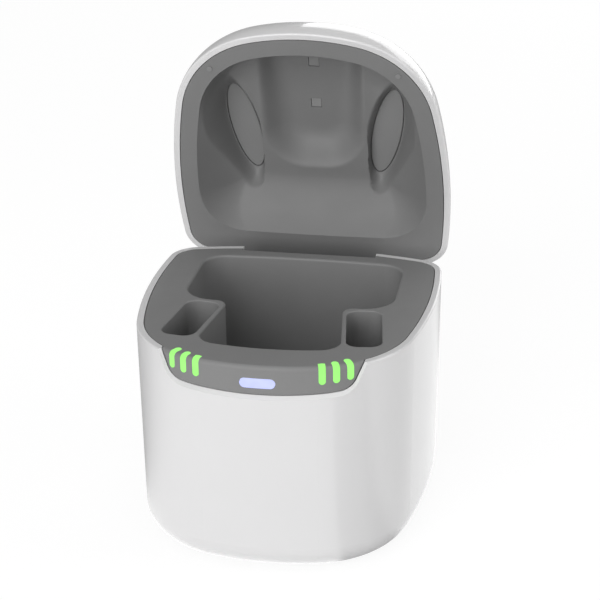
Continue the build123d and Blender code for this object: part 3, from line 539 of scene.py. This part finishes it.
class Wardrobe:
    """Builds each finish once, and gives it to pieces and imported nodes."""

    def __init__(self) -> None:
        """Starts with nothing built."""
        self.built: dict[Finish, bpy.types.Material] = {}

    def material(self, finish: Finish) -> bpy.types.Material:
        """Builds a finish's material where it isn't built yet.

        Args:
            finish: The finish.

        Returns:
            Its material.
        """
        if finish not in self.built:
            self.built[finish] = finish.value.build()
        return self.built[finish]

    def dress(self, piece: bpy.types.Object, finish: Finish) -> None:
        """Gives a piece one finish all over.

        Args:
            piece: The piece.
            finish: Its finish.
        """
        material = self.material(finish)
        if not piece.material_slots:
            piece.data.materials.append(material)
        for material_slot in piece.material_slots:
            material_slot.material = material


# --- Mesh tools ---------------------------------------------------------------------------
def smooth_under(piece: bpy.types.Object, degrees: float) -> None:
    """Shades a piece smooth, apart from its sharp edges.

    Args:
        piece: The piece.
        degrees: Edges sharper than this stay sharp.
    """
    for polygon in piece.data.polygons:
        polygon.use_smooth = True
    piece.data.set_sharp_from_angle(angle=math.radians(degrees))


def piece_from(
    name: str, points: np.ndarray, faces: Iterable[Sequence[int]], sharp: float = 40.0
) -> bpy.types.Object:
    """Makes a mesh object.

    Args:
        name: The piece's name.
        points: Its points, in millimetres.
        faces: Its faces, as runs of point numbers.
        sharp: Edges sharper than this many degrees stay sharp.

    Returns:
        The piece, in metres.
    """
    mesh = bpy.data.meshes.new(name)
    mesh.from_pydata((np.asarray(points) * MM).tolist(), [], [list(map(int, f)) for f in faces])
    mesh.validate()
    piece = bpy.data.objects.new(name, mesh)
    bpy.context.scene.collection.objects.link(piece)
    smooth_under(piece, sharp)
    return piece


def ring_faces(rings: int, around: int, first: int = 0, flip: bool = False) -> list[list[int]]:
    """Quads between closed rings of points that follow each other.

    Args:
        rings: How many rings there are.
        around: How many points each has.
        first: The number of the first ring's first point.
        flip: Whether the faces look the other way.

    Returns:
        The faces.
    """
    faces = []
    for ring in range(rings - 1):
        low = first + ring * around
        for step in range(around):
            after = (step + 1) % around
            face = [low + step, low + after, low + around + after, low + around + step]
            faces.append(face[::-1] if flip else face)
    return faces


def cut(piece: bpy.types.Object, tools: Sequence[bpy.types.Object], sharp: float) -> None:
    """Cuts closed pieces out of a piece, and removes them.

    Args:
        piece: What is cut.
        tools: The closed pieces that are taken away from it.
        sharp: Edges sharper than this many degrees stay sharp afterwards.
    """
    for tool in tools:
        modifier = piece.modifiers.new("cut", "BOOLEAN")
        modifier.operation = "DIFFERENCE"
        modifier.solver = "EXACT"
        modifier.object = tool
    bake_modifiers(piece)
    for tool in tools:
        bpy.data.objects.remove(tool)
    smooth_under(piece, sharp)


def bake_modifiers(piece: bpy.types.Object) -> None:
    """Turns a piece's modifiers into its mesh.

    Args:
        piece: The piece.
    """
    bpy.context.view_layer.update()
    graph = bpy.context.evaluated_depsgraph_get()
    mesh = bpy.data.meshes.new_from_object(piece.evaluated_get(graph))
    piece.modifiers.clear()
    old = piece.data
    piece.data = mesh
    mesh.name = piece.name
    bpy.data.meshes.remove(old)


# --- Plan of the case ---------------------------------------------------------------------
@dataclass(frozen=True)
class ArcPlan:
    """Plan made of tangent arcs, the same left and right, from front to back.

    The arcs are a front, a front corner, a flank, a back corner and a back.
    """

    half_width: float = 43.0
    front_reach: float = 43.85
    back_reach: float = 43.85
    front_radius: float = 71.7
    side_radius: float = 162.3
    back_radius: float = 142.8
    front_corner: float = 30.8
    back_corner: float = 9.4
    widest: float = 14.7
    steps: tuple[int, ...] = (44, 44, 64, 22, 56)

    @staticmethod
    def _tangent(first: np.ndarray, reach: float, second: np.ndarray, far: float) -> np.ndarray:
        """Finds the centre of an arc that joins two others.

        Args:
            first: The centre of the arc before it.
            reach: The distance from that centre.
            second: The centre of the arc after it.
            far: The distance from that centre.

        Returns:
            The centre, on the right-hand side of the plan.
        """
        apart = float(np.linalg.norm(second - first))
        along = (reach**2 - far**2 + apart**2) / (2 * apart)
        aside = math.sqrt(reach**2 - along**2)
        unit = (second - first) / apart
        across = aside * np.array([-unit[1], unit[0]])
        options = [first + unit * along + across, first + unit * along - across]
        return max(options, key=lambda point: point[0])

    def inset(self, amount: float) -> "ArcPlan":
        """Moves the plan inwards.

        Args:
            amount: How far, in millimetres.

        Returns:
            The smaller plan.
        """
        return replace(
            self,
            half_width=self.half_width - amount,
            front_reach=self.front_reach - amount,
            back_reach=self.back_reach - amount,
            front_radius=self.front_radius - amount,
            side_radius=self.side_radius - amount,
            back_radius=self.back_radius - amount,
            front_corner=self.front_corner - amount,
            back_corner=self.back_corner - amount,
        )

    def ring(self) -> np.ndarray:
        """Goes once round the plan, counter-clockwise from the middle of the front.

        Returns:
            The points.
        """
        front = np.array([0.0, self.front_radius - self.front_reach])
        side = np.array([self.half_width - self.side_radius, self.widest])
        back = np.array([0.0, self.back_reach - self.back_radius])
        low, high = self.front_corner, self.back_corner
        near = self._tangent(front, self.front_radius - low, side, self.side_radius - low)
        far = self._tangent(side, self.side_radius - high, back, self.back_radius - high)
        centres = [front, near, side, far, back]
        radii = [self.front_radius, low, self.side_radius, high, self.back_radius]
        joins = [near - front, near - side, far - side, far - back]
        turns = [-math.pi / 2, *[math.atan2(j[1], j[0]) for j in joins], math.pi / 2]
        right = []
        for centre, radius, start, end, steps in zip(
            centres, radii, turns, turns[1:], self.steps
        ):
            angles = start + (end - start) * np.arange(steps) / steps
            right.append(centre + radius * np.stack([np.cos(angles), np.sin(angles)], axis=1))
        half = np.concatenate(right)
        left = half[1:][::-1] * np.array([-1.0, 1.0])
        return np.concatenate([half, [[0.0, self.back_reach]], left])


# --- Lid frame ----------------------------------------------------------------------------
@dataclass(frozen=True)
class LidFrame:
    """Turns places on the closed lid into places on the lid as it stands open at rest."""

    hinge_y: float = 41.03
    hinge_drop: float = 12.8
    rim_z: float = 64.7
    seam_gap: float = 0.5
    open_degrees: float = 72.6

    def open(self, points: np.ndarray) -> np.ndarray:
        """Places in the row frame.

        Args:
            points: Places with z counted from the seam plane of the closed lid.

        Returns:
            The places of the open lid, in millimetres.
        """
        turn = math.radians(self.open_degrees)
        out = np.array(points, dtype=float)
        y = out[:, 1] - self.hinge_y
        z = out[:, 2] + self.hinge_drop + self.seam_gap
        out[:, 1] = self.hinge_y + y * math.cos(turn) + z * math.sin(turn)
        out[:, 2] = self.rim_z - self.hinge_drop - y * math.sin(turn) + z * math.cos(turn)
        return out


# --- Lid liner ----------------------------------------------------------------------------
def ease(share: np.ndarray, power: float) -> np.ndarray:
    """Rises from 0 to 1 with a steep start and a level end."""
    return 1 - (1 - np.clip(share, 0.0, 1.0)) ** power


def soft(share: np.ndarray) -> np.ndarray:
    """Rises from 0 to 1 with a level start and a level end."""
    return share * share * (3 - 2 * share)


@dataclass(frozen=True)
class Scoop:
    """Scoop on one side of the lid: an oval seat for the pad, side walls and a narrow tail.

    Its outline lies further from the pad on the outer side than on the inner side.
    """

    side: int
    across: float = 22.2
    along: float = -0.8
    degrees: float = 10.8
    half_width: float = 4.4
    half_length: float = 15.6
    floor: float = 14.45
    outer_reach: float = 8.9
    inner_reach: float = 6.2
    front_reach: float = 22.0
    tail_place: float = 1.2
    tail_start: float = -3.0
    tail_end: float = 17.5
    tail_half_width: float = 3.0
    tail_shape: float = 1.2
    tail_rise: float = 1.5
    tail_rise_power: int = 3
    softness: float = 0.3
    seat_margin: float = 0.45
    steepness: float = 0.8

    def local(self, x: np.ndarray, y: np.ndarray) -> tuple[np.ndarray, np.ndarray]:
        """Turns places on the lid into places on the scoop.

        Args:
            x: Places across the lid.
            y: Places along the lid.

        Returns:
            The places across and along the scoop, along growing towards the hinge.
        """
        turn = math.radians(self.degrees * self.side)
        dx = x - self.side * self.across
        dy = y - self.along
        u = dx * math.cos(turn) + dy * math.sin(turn)
        v = -dx * math.sin(turn) + dy * math.cos(turn)
        return u, v

    def world(self, u: np.ndarray, v: np.ndarray) -> tuple[np.ndarray, np.ndarray]:
        """Turns places on the scoop into places on the lid.

        Args:
            u: Places across the scoop.
            v: Places along the scoop.

        Returns:
            The places across and along the lid.
        """
        turn = math.radians(self.degrees * self.side)
        x = u * math.cos(turn) - v * math.sin(turn) + self.side * self.across
        y = u * math.sin(turn) + v * math.cos(turn) + self.along
        return x, y

    def _outline(self, u: np.ndarray, v: np.ndarray) -> np.ndarray:
        """Tells how near places are to the scoop's outline.

        Args:
            u: Places across the scoop.
            v: Places along the scoop.

        Returns:
            Levels that are 0 on the middle line and 1 on the outline.
        """
        run = np.clip((v - self.tail_start) / (self.tail_end - self.tail_start), 0.0, 1.0)
        run = run**self.tail_shape
        half = (self.outer_reach + self.inner_reach) / 2
        centre = (self.outer_reach - self.inner_reach) / 2
        width = half + (self.tail_half_width - half) * run
        aside = (self.side * u - centre - (self.tail_place - centre) * run) / width
        ahead = np.minimum(v - self.tail_start, 0.0) / (self.front_reach + self.tail_start)
        behind = np.maximum(v - self.tail_end, 0.0) / self.tail_half_width
        return np.sqrt(aside**2 + ahead**2 + behind**2)

    def deepen(self, x: np.ndarray, y: np.ndarray, base: np.ndarray) -> np.ndarray:
        """Sinks the scoop into a surface.

        Args:
            x: Places across the lid.
            y: Places along the lid.
            base: Depths of the surface above the seam plane.

        Returns:
            The depths of the surface with the scoop in it.
        """
        u, v = self.local(x, y)
        seat_width = self.half_width + self.seat_margin
        seat_length = self.half_length + self.seat_margin
        beyond = np.maximum(np.hypot(u / seat_width, v / seat_length) - 1, 0.0)
        run = np.clip(v / self.tail_end, 0.0, 1.0)
        beyond = beyond * (1 + self.tail_rise * run**self.tail_rise_power)
        inside = np.maximum(1 - self._outline(u, v), 0.0)
        share = beyond / np.maximum(beyond + inside * self.steepness, LEAST_SHARE)
        wall = self.softness * soft(share) + (1 - self.softness) * share
        return base + np.maximum(self.floor - base, 0.0) * (1 - wall)


@dataclass
class LidLiner:
    """Grey liner of the lid: flat flange, dish, deep bowl and two scoops with their pads."""

    wardrobe: Wardrobe
    frame: LidFrame = field(default_factory=LidFrame)
    rim: ArcPlan = field(default_factory=lambda: ArcPlan().inset(2.15))
    mouth: ArcPlan = field(
        default_factory=lambda: ArcPlan(
            half_width=35.7,
            front_reach=36.55,
            back_reach=30.0,
            front_radius=64.4,
            side_radius=155.0,
            back_radius=1028.0,
            front_corner=23.5,
            back_corner=12.0,
        )
    )
    middle: tuple[float, float] = (0.0, -4.0)
    middle_edge: float = 30.0
    flange_rings: int = 6
    rings: int = 98
    ring_crowding: float = 1.15
    sharp_edge: float = 38.0
    skin: float = 1.5
    steepest: float = 2.2
    flange_depth: float = 2.0
    dish_depth: float = 10.8
    side_run: float = 16.0
    side_power: float = 1.75
    back_run: float = 17.0
    back_power: float = 2.2
    corner_power: float = 2.6
    front_run: float = 5.0
    front_power: float = 2.0
    front_start: float = -9.0
    front_blend: float = 12.0
    bowl_half_width: float = 16.2
    bowl_depth: float = 17.4
    bowl_back: float = 11.8
    bowl_back_run: float = 14.0
    bowl_side_runs: tuple[float, float] = (8.5, 13.5)
    bowl_side_ends: tuple[float, float] = (-25.0, 0.0)
    bowl_power: float = 1.9
    wall_run: float = 13.0
    wall_power: float = 1.6
    wall_height: float = 30.0
    pad_gap: float = 0.22
    pad_top: float = 14.4
    pad_round: float = 0.35
    pad_crown: float = 0.12
    pad_crown_rings: tuple[tuple[float, float], ...] = ((1.0, 0.02), (2.0, 0.06))
    pad_points: int = 128
    pad_edge_steps: int = 4
    pad_sharp_edge: float = 50.0
    pocket_start: float = 0.5
    pocket_floor: float = 15.4
    window_half: float = 1.62
    window_places: tuple[float, float] = (-23.25, -8.35)
    window_start: float = 10.0
    window_reach: float = 3.0
    notch_half_width: float = 15.2
    notch_front: float = 39.05
    notch_back: float = 50.0
    notch_spare: float = 1.0

    def height(self, x: np.ndarray, y: np.ndarray, edge: np.ndarray) -> np.ndarray:
        """Depth of the hollow above the seam plane.

        Args:
            x: Places across the lid.
            y: Places along the lid, growing towards the hinge.
            edge: Distances from the edge of the mouth.

        Returns:
            The depths.
        """
        ahead = soft(np.clip((self.front_start - y) / self.front_blend, 0.0, 1.0))
        run = self.side_run + (self.front_run - self.side_run) * ahead
        power = self.side_power + (self.front_power - self.side_power) * ahead
        rear = self._rear_share(x, y)
        dish = self.dish_depth * np.minimum(ease(edge / run, power), rear + (1 - rear) * ahead)
        out = dish + np.maximum(self.bowl_depth - dish, 0.0) * self._bowl_share(x, y)
        for side in (-1, 1):
            out = Scoop(side).deepen(x, y, out)
        return np.minimum(out, self.wall_height * ease(edge / self.wall_run, self.wall_power))

    def _rear_share(self, x: np.ndarray, y: np.ndarray) -> np.ndarray:
        """Tells how deep the dish is behind the flanks and the back of the mouth.

        Args:
            x: Places across the lid.
            y: Places along the lid.

        Returns:
            Shares of the dish's depth, 0 on the mouth and 1 inside, with soft corners.
        """
        flank, back = self.mouth.side_radius, self.mouth.back_radius
        from_flank = self.mouth.half_width - flank - np.abs(x)
        from_flank = from_flank + np.sqrt(flank**2 - (y - self.mouth.widest) ** 2)
        from_back = self.mouth.back_reach - back - y + np.sqrt(back**2 - x**2)
        aside = np.clip(1 - from_flank / self.side_run, 0.0, None)
        behind = np.clip(1 - from_back / self.back_run, 0.0, None)
        both = (aside**self.corner_power + behind**self.corner_power) ** (1 / self.corner_power)
        both = np.maximum(both, LEAST_SHARE)
        power = self.side_power + (self.back_power - self.side_power) * behind / both
        return np.clip(1 - both**power, 0.0, 1.0)

    def _bowl_share(self, x: np.ndarray, y: np.ndarray) -> np.ndarray:
        """Tells how deep the bowl is.

        Args:
            x: Places across the lid.
            y: Places along the lid.

        Returns:
            Shares of the bowl's depth, 0 on its edge and 1 on its flat roof.
        """
        near, far = self.bowl_side_ends
        share = np.clip((y - near) / (far - near), 0.0, 1.0)
        run = self.bowl_side_runs[0] + (self.bowl_side_runs[1] - self.bowl_side_runs[0]) * share
        aside = np.clip(1 - (self.bowl_half_width - np.abs(x)) / run, 0.0, None)
        behind = np.clip(1 - (self.bowl_back - y) / self.bowl_back_run, 0.0, None)
        return soft(np.clip(1 - np.hypot(aside, behind) ** self.bowl_power, 0.0, 1.0))

    def build(self) -> None:
        """Builds the liner and its pads."""
        rim, mouth = self.rim.ring(), self.mouth.ring()
        around = len(rim)
        middle = np.array(self.middle)
        rows, heights = [], []
        for step in range(self.flange_rings):
            share = step / self.flange_rings
            rows.append(rim + (mouth - rim) * share)
            heights.append(np.zeros(around))
        for step in range(self.rings):
            share = (step / self.rings) ** self.ring_crowding
            rows.append(mouth + (middle - mouth) * share)
            edge = self._edge_distance(rows[-1], mouth)
            heights.append(self.height(rows[-1][:, 0], rows[-1][:, 1], edge))
        points = [np.column_stack([row, height]) for row, height in zip(rows, heights)]
        centre_height = self.height(middle[:1], middle[1:], np.array([self.middle_edge]))[0]
        front = np.concatenate([*points, [[*middle, centre_height]]])
        thickness = np.append(self.skin * self._steepness(np.stack(points)).ravel(), self.skin)
        back = front.copy()
        highest = self.bowl_depth + self.skin
        back[:, 2] = np.clip(back[:, 2] + thickness, self.flange_depth, highest)
        count = len(front)
        faces = ring_faces(len(points), around)
        last = (len(points) - 1) * around
        faces += [[last + i, last + (i + 1) % around, count - 1] for i in range(around)]
        backs = [[i + count for i in face[::-1]] for face in faces]
        sides = [[(i + 1) % around, i, i + count, (i + 1) % around + count] for i in range(around)]
        solid = np.concatenate([front, back])
        liner = piece_from("lid_liner_moulding", self.frame.open(solid), faces + backs + sides)
        cut(liner, self._cutters(), self.sharp_edge)
        self.wardrobe.dress(liner, Finish.GREY_LINER)
        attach(liner, "lid")
        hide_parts("lid_liner")
        log.info("%s: %d faces", liner.name, len(liner.data.polygons))
        for side, name in ((-1, "left"), (1, "right")):
            self._pad(Scoop(side), name)

    def _steepness(self, grid: np.ndarray) -> np.ndarray:
        """Tells how much thicker the wall is along z than square to its face.

        Args:
            grid: The places of the liner's face, ring by ring.

        Returns:
            The ratios, within a limit.
        """
        inwards = np.gradient(grid, axis=0)
        around = np.roll(grid, -1, axis=1) - np.roll(grid, 1, axis=1)
        normal = np.cross(inwards, around)
        upright = np.maximum(np.abs(normal[..., 2]), LEAST_UPRIGHT)
        return np.minimum(np.linalg.norm(normal, axis=2) / upright, self.steepest)

    @staticmethod
    def _edge_distance(row: np.ndarray, mouth: np.ndarray) -> np.ndarray:
        """Measures how far places are from the edge of the mouth.

        Args:
            row: The places.
            mouth: The mouth's outline.

        Returns:
            The distances.
        """
        start, end = mouth, np.roll(mouth, -1, axis=0)
        run = end - start
        offset = row[:, None, :] - start[None, :, :]
        share = np.clip((offset * run).sum(2) / (run * run).sum(1), 0.0, 1.0)
        return np.linalg.norm(offset - share[:, :, None] * run, axis=2).min(axis=1)

    def _cutters(self) -> list[bpy.types.Object]:
        """Makes what is cut out of the liner.

        Returns:
            Closed tools for the pads' pockets, the windows and the notch for the lid's arm.
        """
        tools = []
        for side in (-1, 1):
            scoop = Scoop(side)
            angles = np.linspace(0, 2 * math.pi, self.pad_points, endpoint=False)
            x, y = scoop.world(
                (scoop.half_width + self.pad_gap) * np.cos(angles),
                (scoop.half_length + self.pad_gap) * np.sin(angles),
            )
            oval = np.stack([x, y], axis=1)
            tools.append(self._prism(oval, self.pocket_start, self.pocket_floor))
        half, roof = self.window_half, self.bowl_depth + self.window_reach
        for place in self.window_places:
            square = np.array([[-half, -half], [half, -half], [half, half], [-half, half]])
            tools.append(self._prism(square + (0.0, place), self.window_start, roof))
        half, front, back = self.notch_half_width, self.notch_front, self.notch_back
        notch = np.array([[-half, front], [half, front], [half, back], [-half, back]])
        top = self.flange_depth + self.notch_spare
        tools.append(self._prism(notch, -self.notch_spare, top))
        return tools

    def _prism(self, outline: np.ndarray, low: float, high: float) -> bpy.types.Object:
        """Makes an upright prism on the closed lid, and moves it to where the lid stands open.

        Args:
            outline: Its plan.
            low: The depth at which it starts.
            high: The depth at which it ends.

        Returns:
            The closed prism.
        """
        count = len(outline)
        points = np.concatenate(
            [np.column_stack([outline, np.full(count, z)]) for z in (low, high)]
        )
        faces = ring_faces(2, count) + [list(range(count))[::-1], list(range(count, 2 * count))]
        return piece_from("tool", self.frame.open(points), faces)

    def _pad(self, scoop: Scoop, name: str) -> None:
        """Builds one pad: a slightly crowned oval with a rounded edge.

        Args:
            scoop: The scoop that it lies in.
            name: Its side, as its name says.
        """
        around = self.pad_points
        angles = np.linspace(0, 2 * math.pi, around, endpoint=False)
        profile = [(0.0, self.pocket_floor)]
        for step in range(self.pad_edge_steps + 1):
            turn = math.pi / 2 * step / self.pad_edge_steps
            inset = self.pad_round * (1 - math.cos(turn))
            profile.append((inset, self.pad_top + self.pad_round * (1 - math.sin(turn))))
        profile += [(inset, self.pad_top - drop) for inset, drop in self.pad_crown_rings]
        rows = []
        for inset, z in profile:
            u = (scoop.half_width - inset) * np.cos(angles)
            v = (scoop.half_length - inset) * np.sin(angles)
            x, y = scoop.world(u, v)
            rows.append(np.column_stack([x, y, np.full(around, z)]))
        x, y = scoop.world(np.zeros(1), np.zeros(1))
        points = np.concatenate([*rows, [[x[0], y[0], self.pad_top - self.pad_crown]]])
        last = (len(rows) - 1) * around
        faces = ring_faces(len(rows), around, flip=True)
        faces += [[last + (i + 1) % around, last + i, len(points) - 1] for i in range(around)]
        faces.append(list(range(around)))
        opened = self.frame.open(points)
        pad = piece_from(f"{name}_oval_pad", opened, faces, self.pad_sharp_edge)
        self.wardrobe.dress(pad, Finish.DARK_PAD)
        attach(pad, "lid")
        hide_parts(f"{name}_lid_pad")
        log.info("%s: %d faces", pad.name, len(pad.data.polygons))


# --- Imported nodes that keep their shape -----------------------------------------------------
NODE_FINISHES: dict[Finish, tuple[str, ...]] = {
    Finish.WHITE_CASE: ("outer_housing", "lid_shell"),
    Finish.GREY_TRAY: ("top_deck", "hinge_arm"),
    Finish.GREY_LINER: ("lid_liner",),
    Finish.DARK_PAD: ("left_lid_pad", "right_lid_pad", "flange_bumpers"),
    Finish.RUBBER: ("foot_mat",),
    Finish.GREEN_LIGHT: ("left_light_bars", "right_light_bars"),
    Finish.BUTTON_LIGHT: ("status_button",),
    Finish.WINDOW: ("front_window", "rear_window"),
    Finish.BLACK_PLASTIC: (
        "tact_switch",
        "switch_plunger",
        "power_socket_tongue",
        "fan_frame",
        "fan_rotor",
        "board_parts",
    ),
    Finish.FERRITE: ("ferrite_sheets",),
    Finish.BOARD: ("indicator_board", "main_board", "lamp_board"),
    Finish.LED_BODY: ("indicator_leds", "lamp_leds"),
    Finish.STEEL: (
        "indicator_screws",
        "case_screws",
        "fan_screws",
        "arm_screws",
        "hinge_pin",
        "power_socket_shell",
    ),
    Finish.COPPER: ("charge_coils",),
    Finish.HEATER: ("heater_plate",),
}


def dress_nodes(nodes: dict[str, bpy.types.Object], wardrobe: Wardrobe) -> None:
    """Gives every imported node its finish.

    Args:
        nodes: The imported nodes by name.
        wardrobe: Where the materials come from.
    """
    for finish, names in NODE_FINISHES.items():
        for name in names:
            wardrobe.dress(nodes[name], finish)
            log.info("%s wears %s", name, finish.name)


# --- Studio -------------------------------------------------------------------------------
@dataclass
class Softbox:
    """Rectangular studio lamp, in metres, aimed at a place."""

    name: str
    place: tuple[float, float, float]
    target: tuple[float, float, float]
    width: float
    height: float
    power: float

    def build(self) -> None:
        """Adds the lamp and aims it."""
        lamp = bpy.data.lights.new(self.name, "AREA")
        lamp.shape = "RECTANGLE"
        lamp.size = self.width
        lamp.size_y = self.height
        lamp.energy = self.power
        holder = bpy.data.objects.new(self.name, lamp)
        aim = Vector(self.target) - Vector(self.place)
        holder.location = self.place
        holder.rotation_euler = aim.to_track_quat("-Z", "Y").to_euler()
        bpy.context.scene.collection.objects.link(holder)
        log.info("%s: %.1f W", self.name, self.power)


@dataclass
class Studio:
    """Floor, world, lamps and camera.

    The cards are what the table mirrors in glossy plastic. Their edges are given as bearings in
    radians from the front, each with a start and an end of its soft edge.
    """

    camera_place: tuple[float, float, float] = (0.084334, -0.443274, 0.261882)
    camera_target: tuple[float, float, float] = (0.001290, 0.016359, 0.058729)
    camera_roll: float = -0.588
    lens: float = 102.06
    sensor: float = 36.0
    nearest: float = 0.01
    floor_half: float = 4.0
    floor_tones: tuple[float, float] = (0.64, 0.68)
    floor_cloud: float = 0.2
    dim_card: Colour = (0.45, 0.45, 0.45, 1.0)
    bright_card: Colour = (1.45, 1.45, 1.45, 1.0)
    left_card: tuple[tuple[float, float], ...] = ((-1.9, -0.9), (0.5, 0.6))
    right_card: tuple[tuple[float, float], ...] = ((1.0, 1.22), (2.65, 2.95))
    right_card_share: float = 0.68
    world_level: float = 0.29
    backdrop: Colour = (1.17, 1.17, 1.17, 1.0)
    shadow_share: float = 0.25
    covered_radius: float = 0.03
    covered_edge: float = 0.004
    lamps: tuple[Softbox, ...] = (
        Softbox("front_left_softbox", (-0.34, -1.32, 0.56), (0.0, 0.0, 0.05), 1.1, 1.1, 13.3),
        Softbox("top_softbox", (0.0, -0.2, 1.3), (0.0, 0.0, 0.05), 1.2, 1.2, 3.2),
        Softbox("back_softbox", (0.25, 1.35, 0.4), (0.0, 0.0, 0.06), 1.0, 0.8, 5.0),
        Softbox("right_softbox", (1.15, 0.05, 0.45), (0.0, 0.0, 0.05), 0.5, 1.0, 3.4),
    )

    def build(self) -> None:
        """Builds the studio."""
        self._floor()
        self._world()
        for lamp in self.lamps:
            lamp.build()
        self._camera()
        bpy.context.scene.view_settings.view_transform = "Standard"

    def _floor(self) -> None:
        """Adds a pale floor that shows white, with only a hint of the object's shadow."""
        half = self.floor_half / MM
        corners = np.array([[-half, -half, 0], [half, -half, 0], [half, half, 0], [-half, half, 0]])
        floor = piece_from("studio_floor", corners, [[0, 1, 2, 3]])
        graph = Graph("studio_floor_finish")
        low, high = ((tone, tone, tone, 1.0) for tone in self.floor_tones)
        pale = graph.blend(graph.noise(self.floor_cloud, 2.0), low, high)
        matte = graph.node("ShaderNodeBsdfDiffuse", None, {"Color": pale})
        rays = graph.node("ShaderNodeLightPath")
        camera = Value(graph, rays.outputs["Is Camera Ray"])
        mirrored = graph.blend(self._cards(graph), self.dim_card, self.bright_card)
        white = graph.node(
            "ShaderNodeEmission",
            None,
            {"Color": graph.blend(camera, mirrored, self.backdrop), "Strength": 1.0},
        )
        seen = (self._any_ray(graph, rays) - camera * self.shadow_share) * self._around(graph)
        mixed = graph.node("ShaderNodeMixShader", None, {0: seen})
        graph.tree.links.new(matte.outputs[0], mixed.inputs[1])
        graph.tree.links.new(white.outputs[0], mixed.inputs[2])
        floor.data.materials.append(graph.finish(mixed))

    def _cards(self, graph: Graph) -> Value:
        """Tells where the table mirrors a bright card.

        Args:
            graph: The floor's nodes.

        Returns:
            1 on the left card, less on the right one and 0 elsewhere.
        """
        place = graph.node("ShaderNodeSeparateXYZ", None, {0: graph.place()})
        across, along = (Value(graph, place.outputs[name]) for name in ("X", "Y"))
        settings = {"operation": "ARCTAN2"}
        bearing = graph.value("ShaderNodeMath", settings, {0: across, 1: 0 - along})
        left, right = (
            bearing.smooth(*start) - bearing.smooth(*end)
            for start, end in (self.left_card, self.right_card)
        )
        return left + right * self.right_card_share

    def _around(self, graph: Graph) -> Value:
        """Tells where the table lies open.

        Args:
            graph: The floor's nodes.

        Returns:
            1 around the case and 0 under it, where only real light reaches the table.
        """
        place = {0: graph.place()}
        distance = graph.node("ShaderNodeVectorMath", {"operation": "LENGTH"}, place)
        reach = self.covered_radius
        return Value(graph, distance.outputs["Value"]).smooth(reach, reach + self.covered_edge)

    @staticmethod
    def _any_ray(graph: Graph, rays: bpy.types.Node) -> Value:
        """Tells which rays see the backdrop.

        Args:
            graph: The floor's nodes.
            rays: The Light Path node.

        Returns:
            1 for camera, glossy and transmission rays, and 0 for the others.
        """
        names = ("Is Camera Ray", "Is Glossy Ray", "Is Transmission Ray")
        camera, glossy, clear = (Value(graph, rays.outputs[name]) for name in names)
        return 1 - (1 - camera) * (1 - glossy) * (1 - clear)

    def _world(self) -> None:
        """Adds a world that is white for the camera, and a level grey as light."""
        world = bpy.data.worlds.new("studio_world")
        bpy.context.scene.world = world
        world.use_nodes = True
        tree = world.node_tree
        tree.nodes.clear()
        rays = tree.nodes.new("ShaderNodeLightPath")
        lit = tree.nodes.new("ShaderNodeBackground")
        lit.inputs["Strength"].default_value = self.world_level
        seen = tree.nodes.new("ShaderNodeBackground")
        seen.inputs["Strength"].default_value = 1.0
        for background in (lit, seen):
            background.inputs["Color"].default_value = (1, 1, 1, 1)
        mixed = tree.nodes.new("ShaderNodeMixShader")
        output = tree.nodes.new("ShaderNodeOutputWorld")
        tree.links.new(rays.outputs["Is Camera Ray"], mixed.inputs[0])
        tree.links.new(lit.outputs[0], mixed.inputs[1])
        tree.links.new(seen.outputs[0], mixed.inputs[2])
        tree.links.new(mixed.outputs[0], output.inputs[0])

    def _camera(self) -> None:
        """Adds the camera, at the front right and looking down."""
        camera = bpy.data.cameras.new("camera")
        camera.lens = self.lens
        camera.sensor_width = self.sensor
        camera.clip_start = self.nearest
        holder = bpy.data.objects.new("camera", camera)
        ahead = (Vector(self.camera_target) - Vector(self.camera_place)).normalized()
        right = ahead.cross(Vector((0, 0, 1))).normalized()
        right = Matrix.Rotation(math.radians(-self.camera_roll), 3, ahead) @ right
        up = right.cross(ahead)
        turn = Matrix((right, up, -ahead)).transposed().to_4x4()
        holder.matrix_world = Matrix.Translation(self.camera_place) @ turn
        bpy.context.scene.collection.objects.link(holder)
        bpy.context.scene.camera = holder
        log.info("camera at %s", self.camera_place)


def main() -> None:
    """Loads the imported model, adds the studio, dresses the nodes and builds the liner."""
    logging.basicConfig(level=logging.INFO, format="%(name)s: %(message)s")
    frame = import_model()
    wardrobe = Wardrobe()
    Studio().build()
    dress_nodes(frame["nodes"], wardrobe)
    LidLiner(wardrobe).build()


if __name__ == "__main__":
    main()
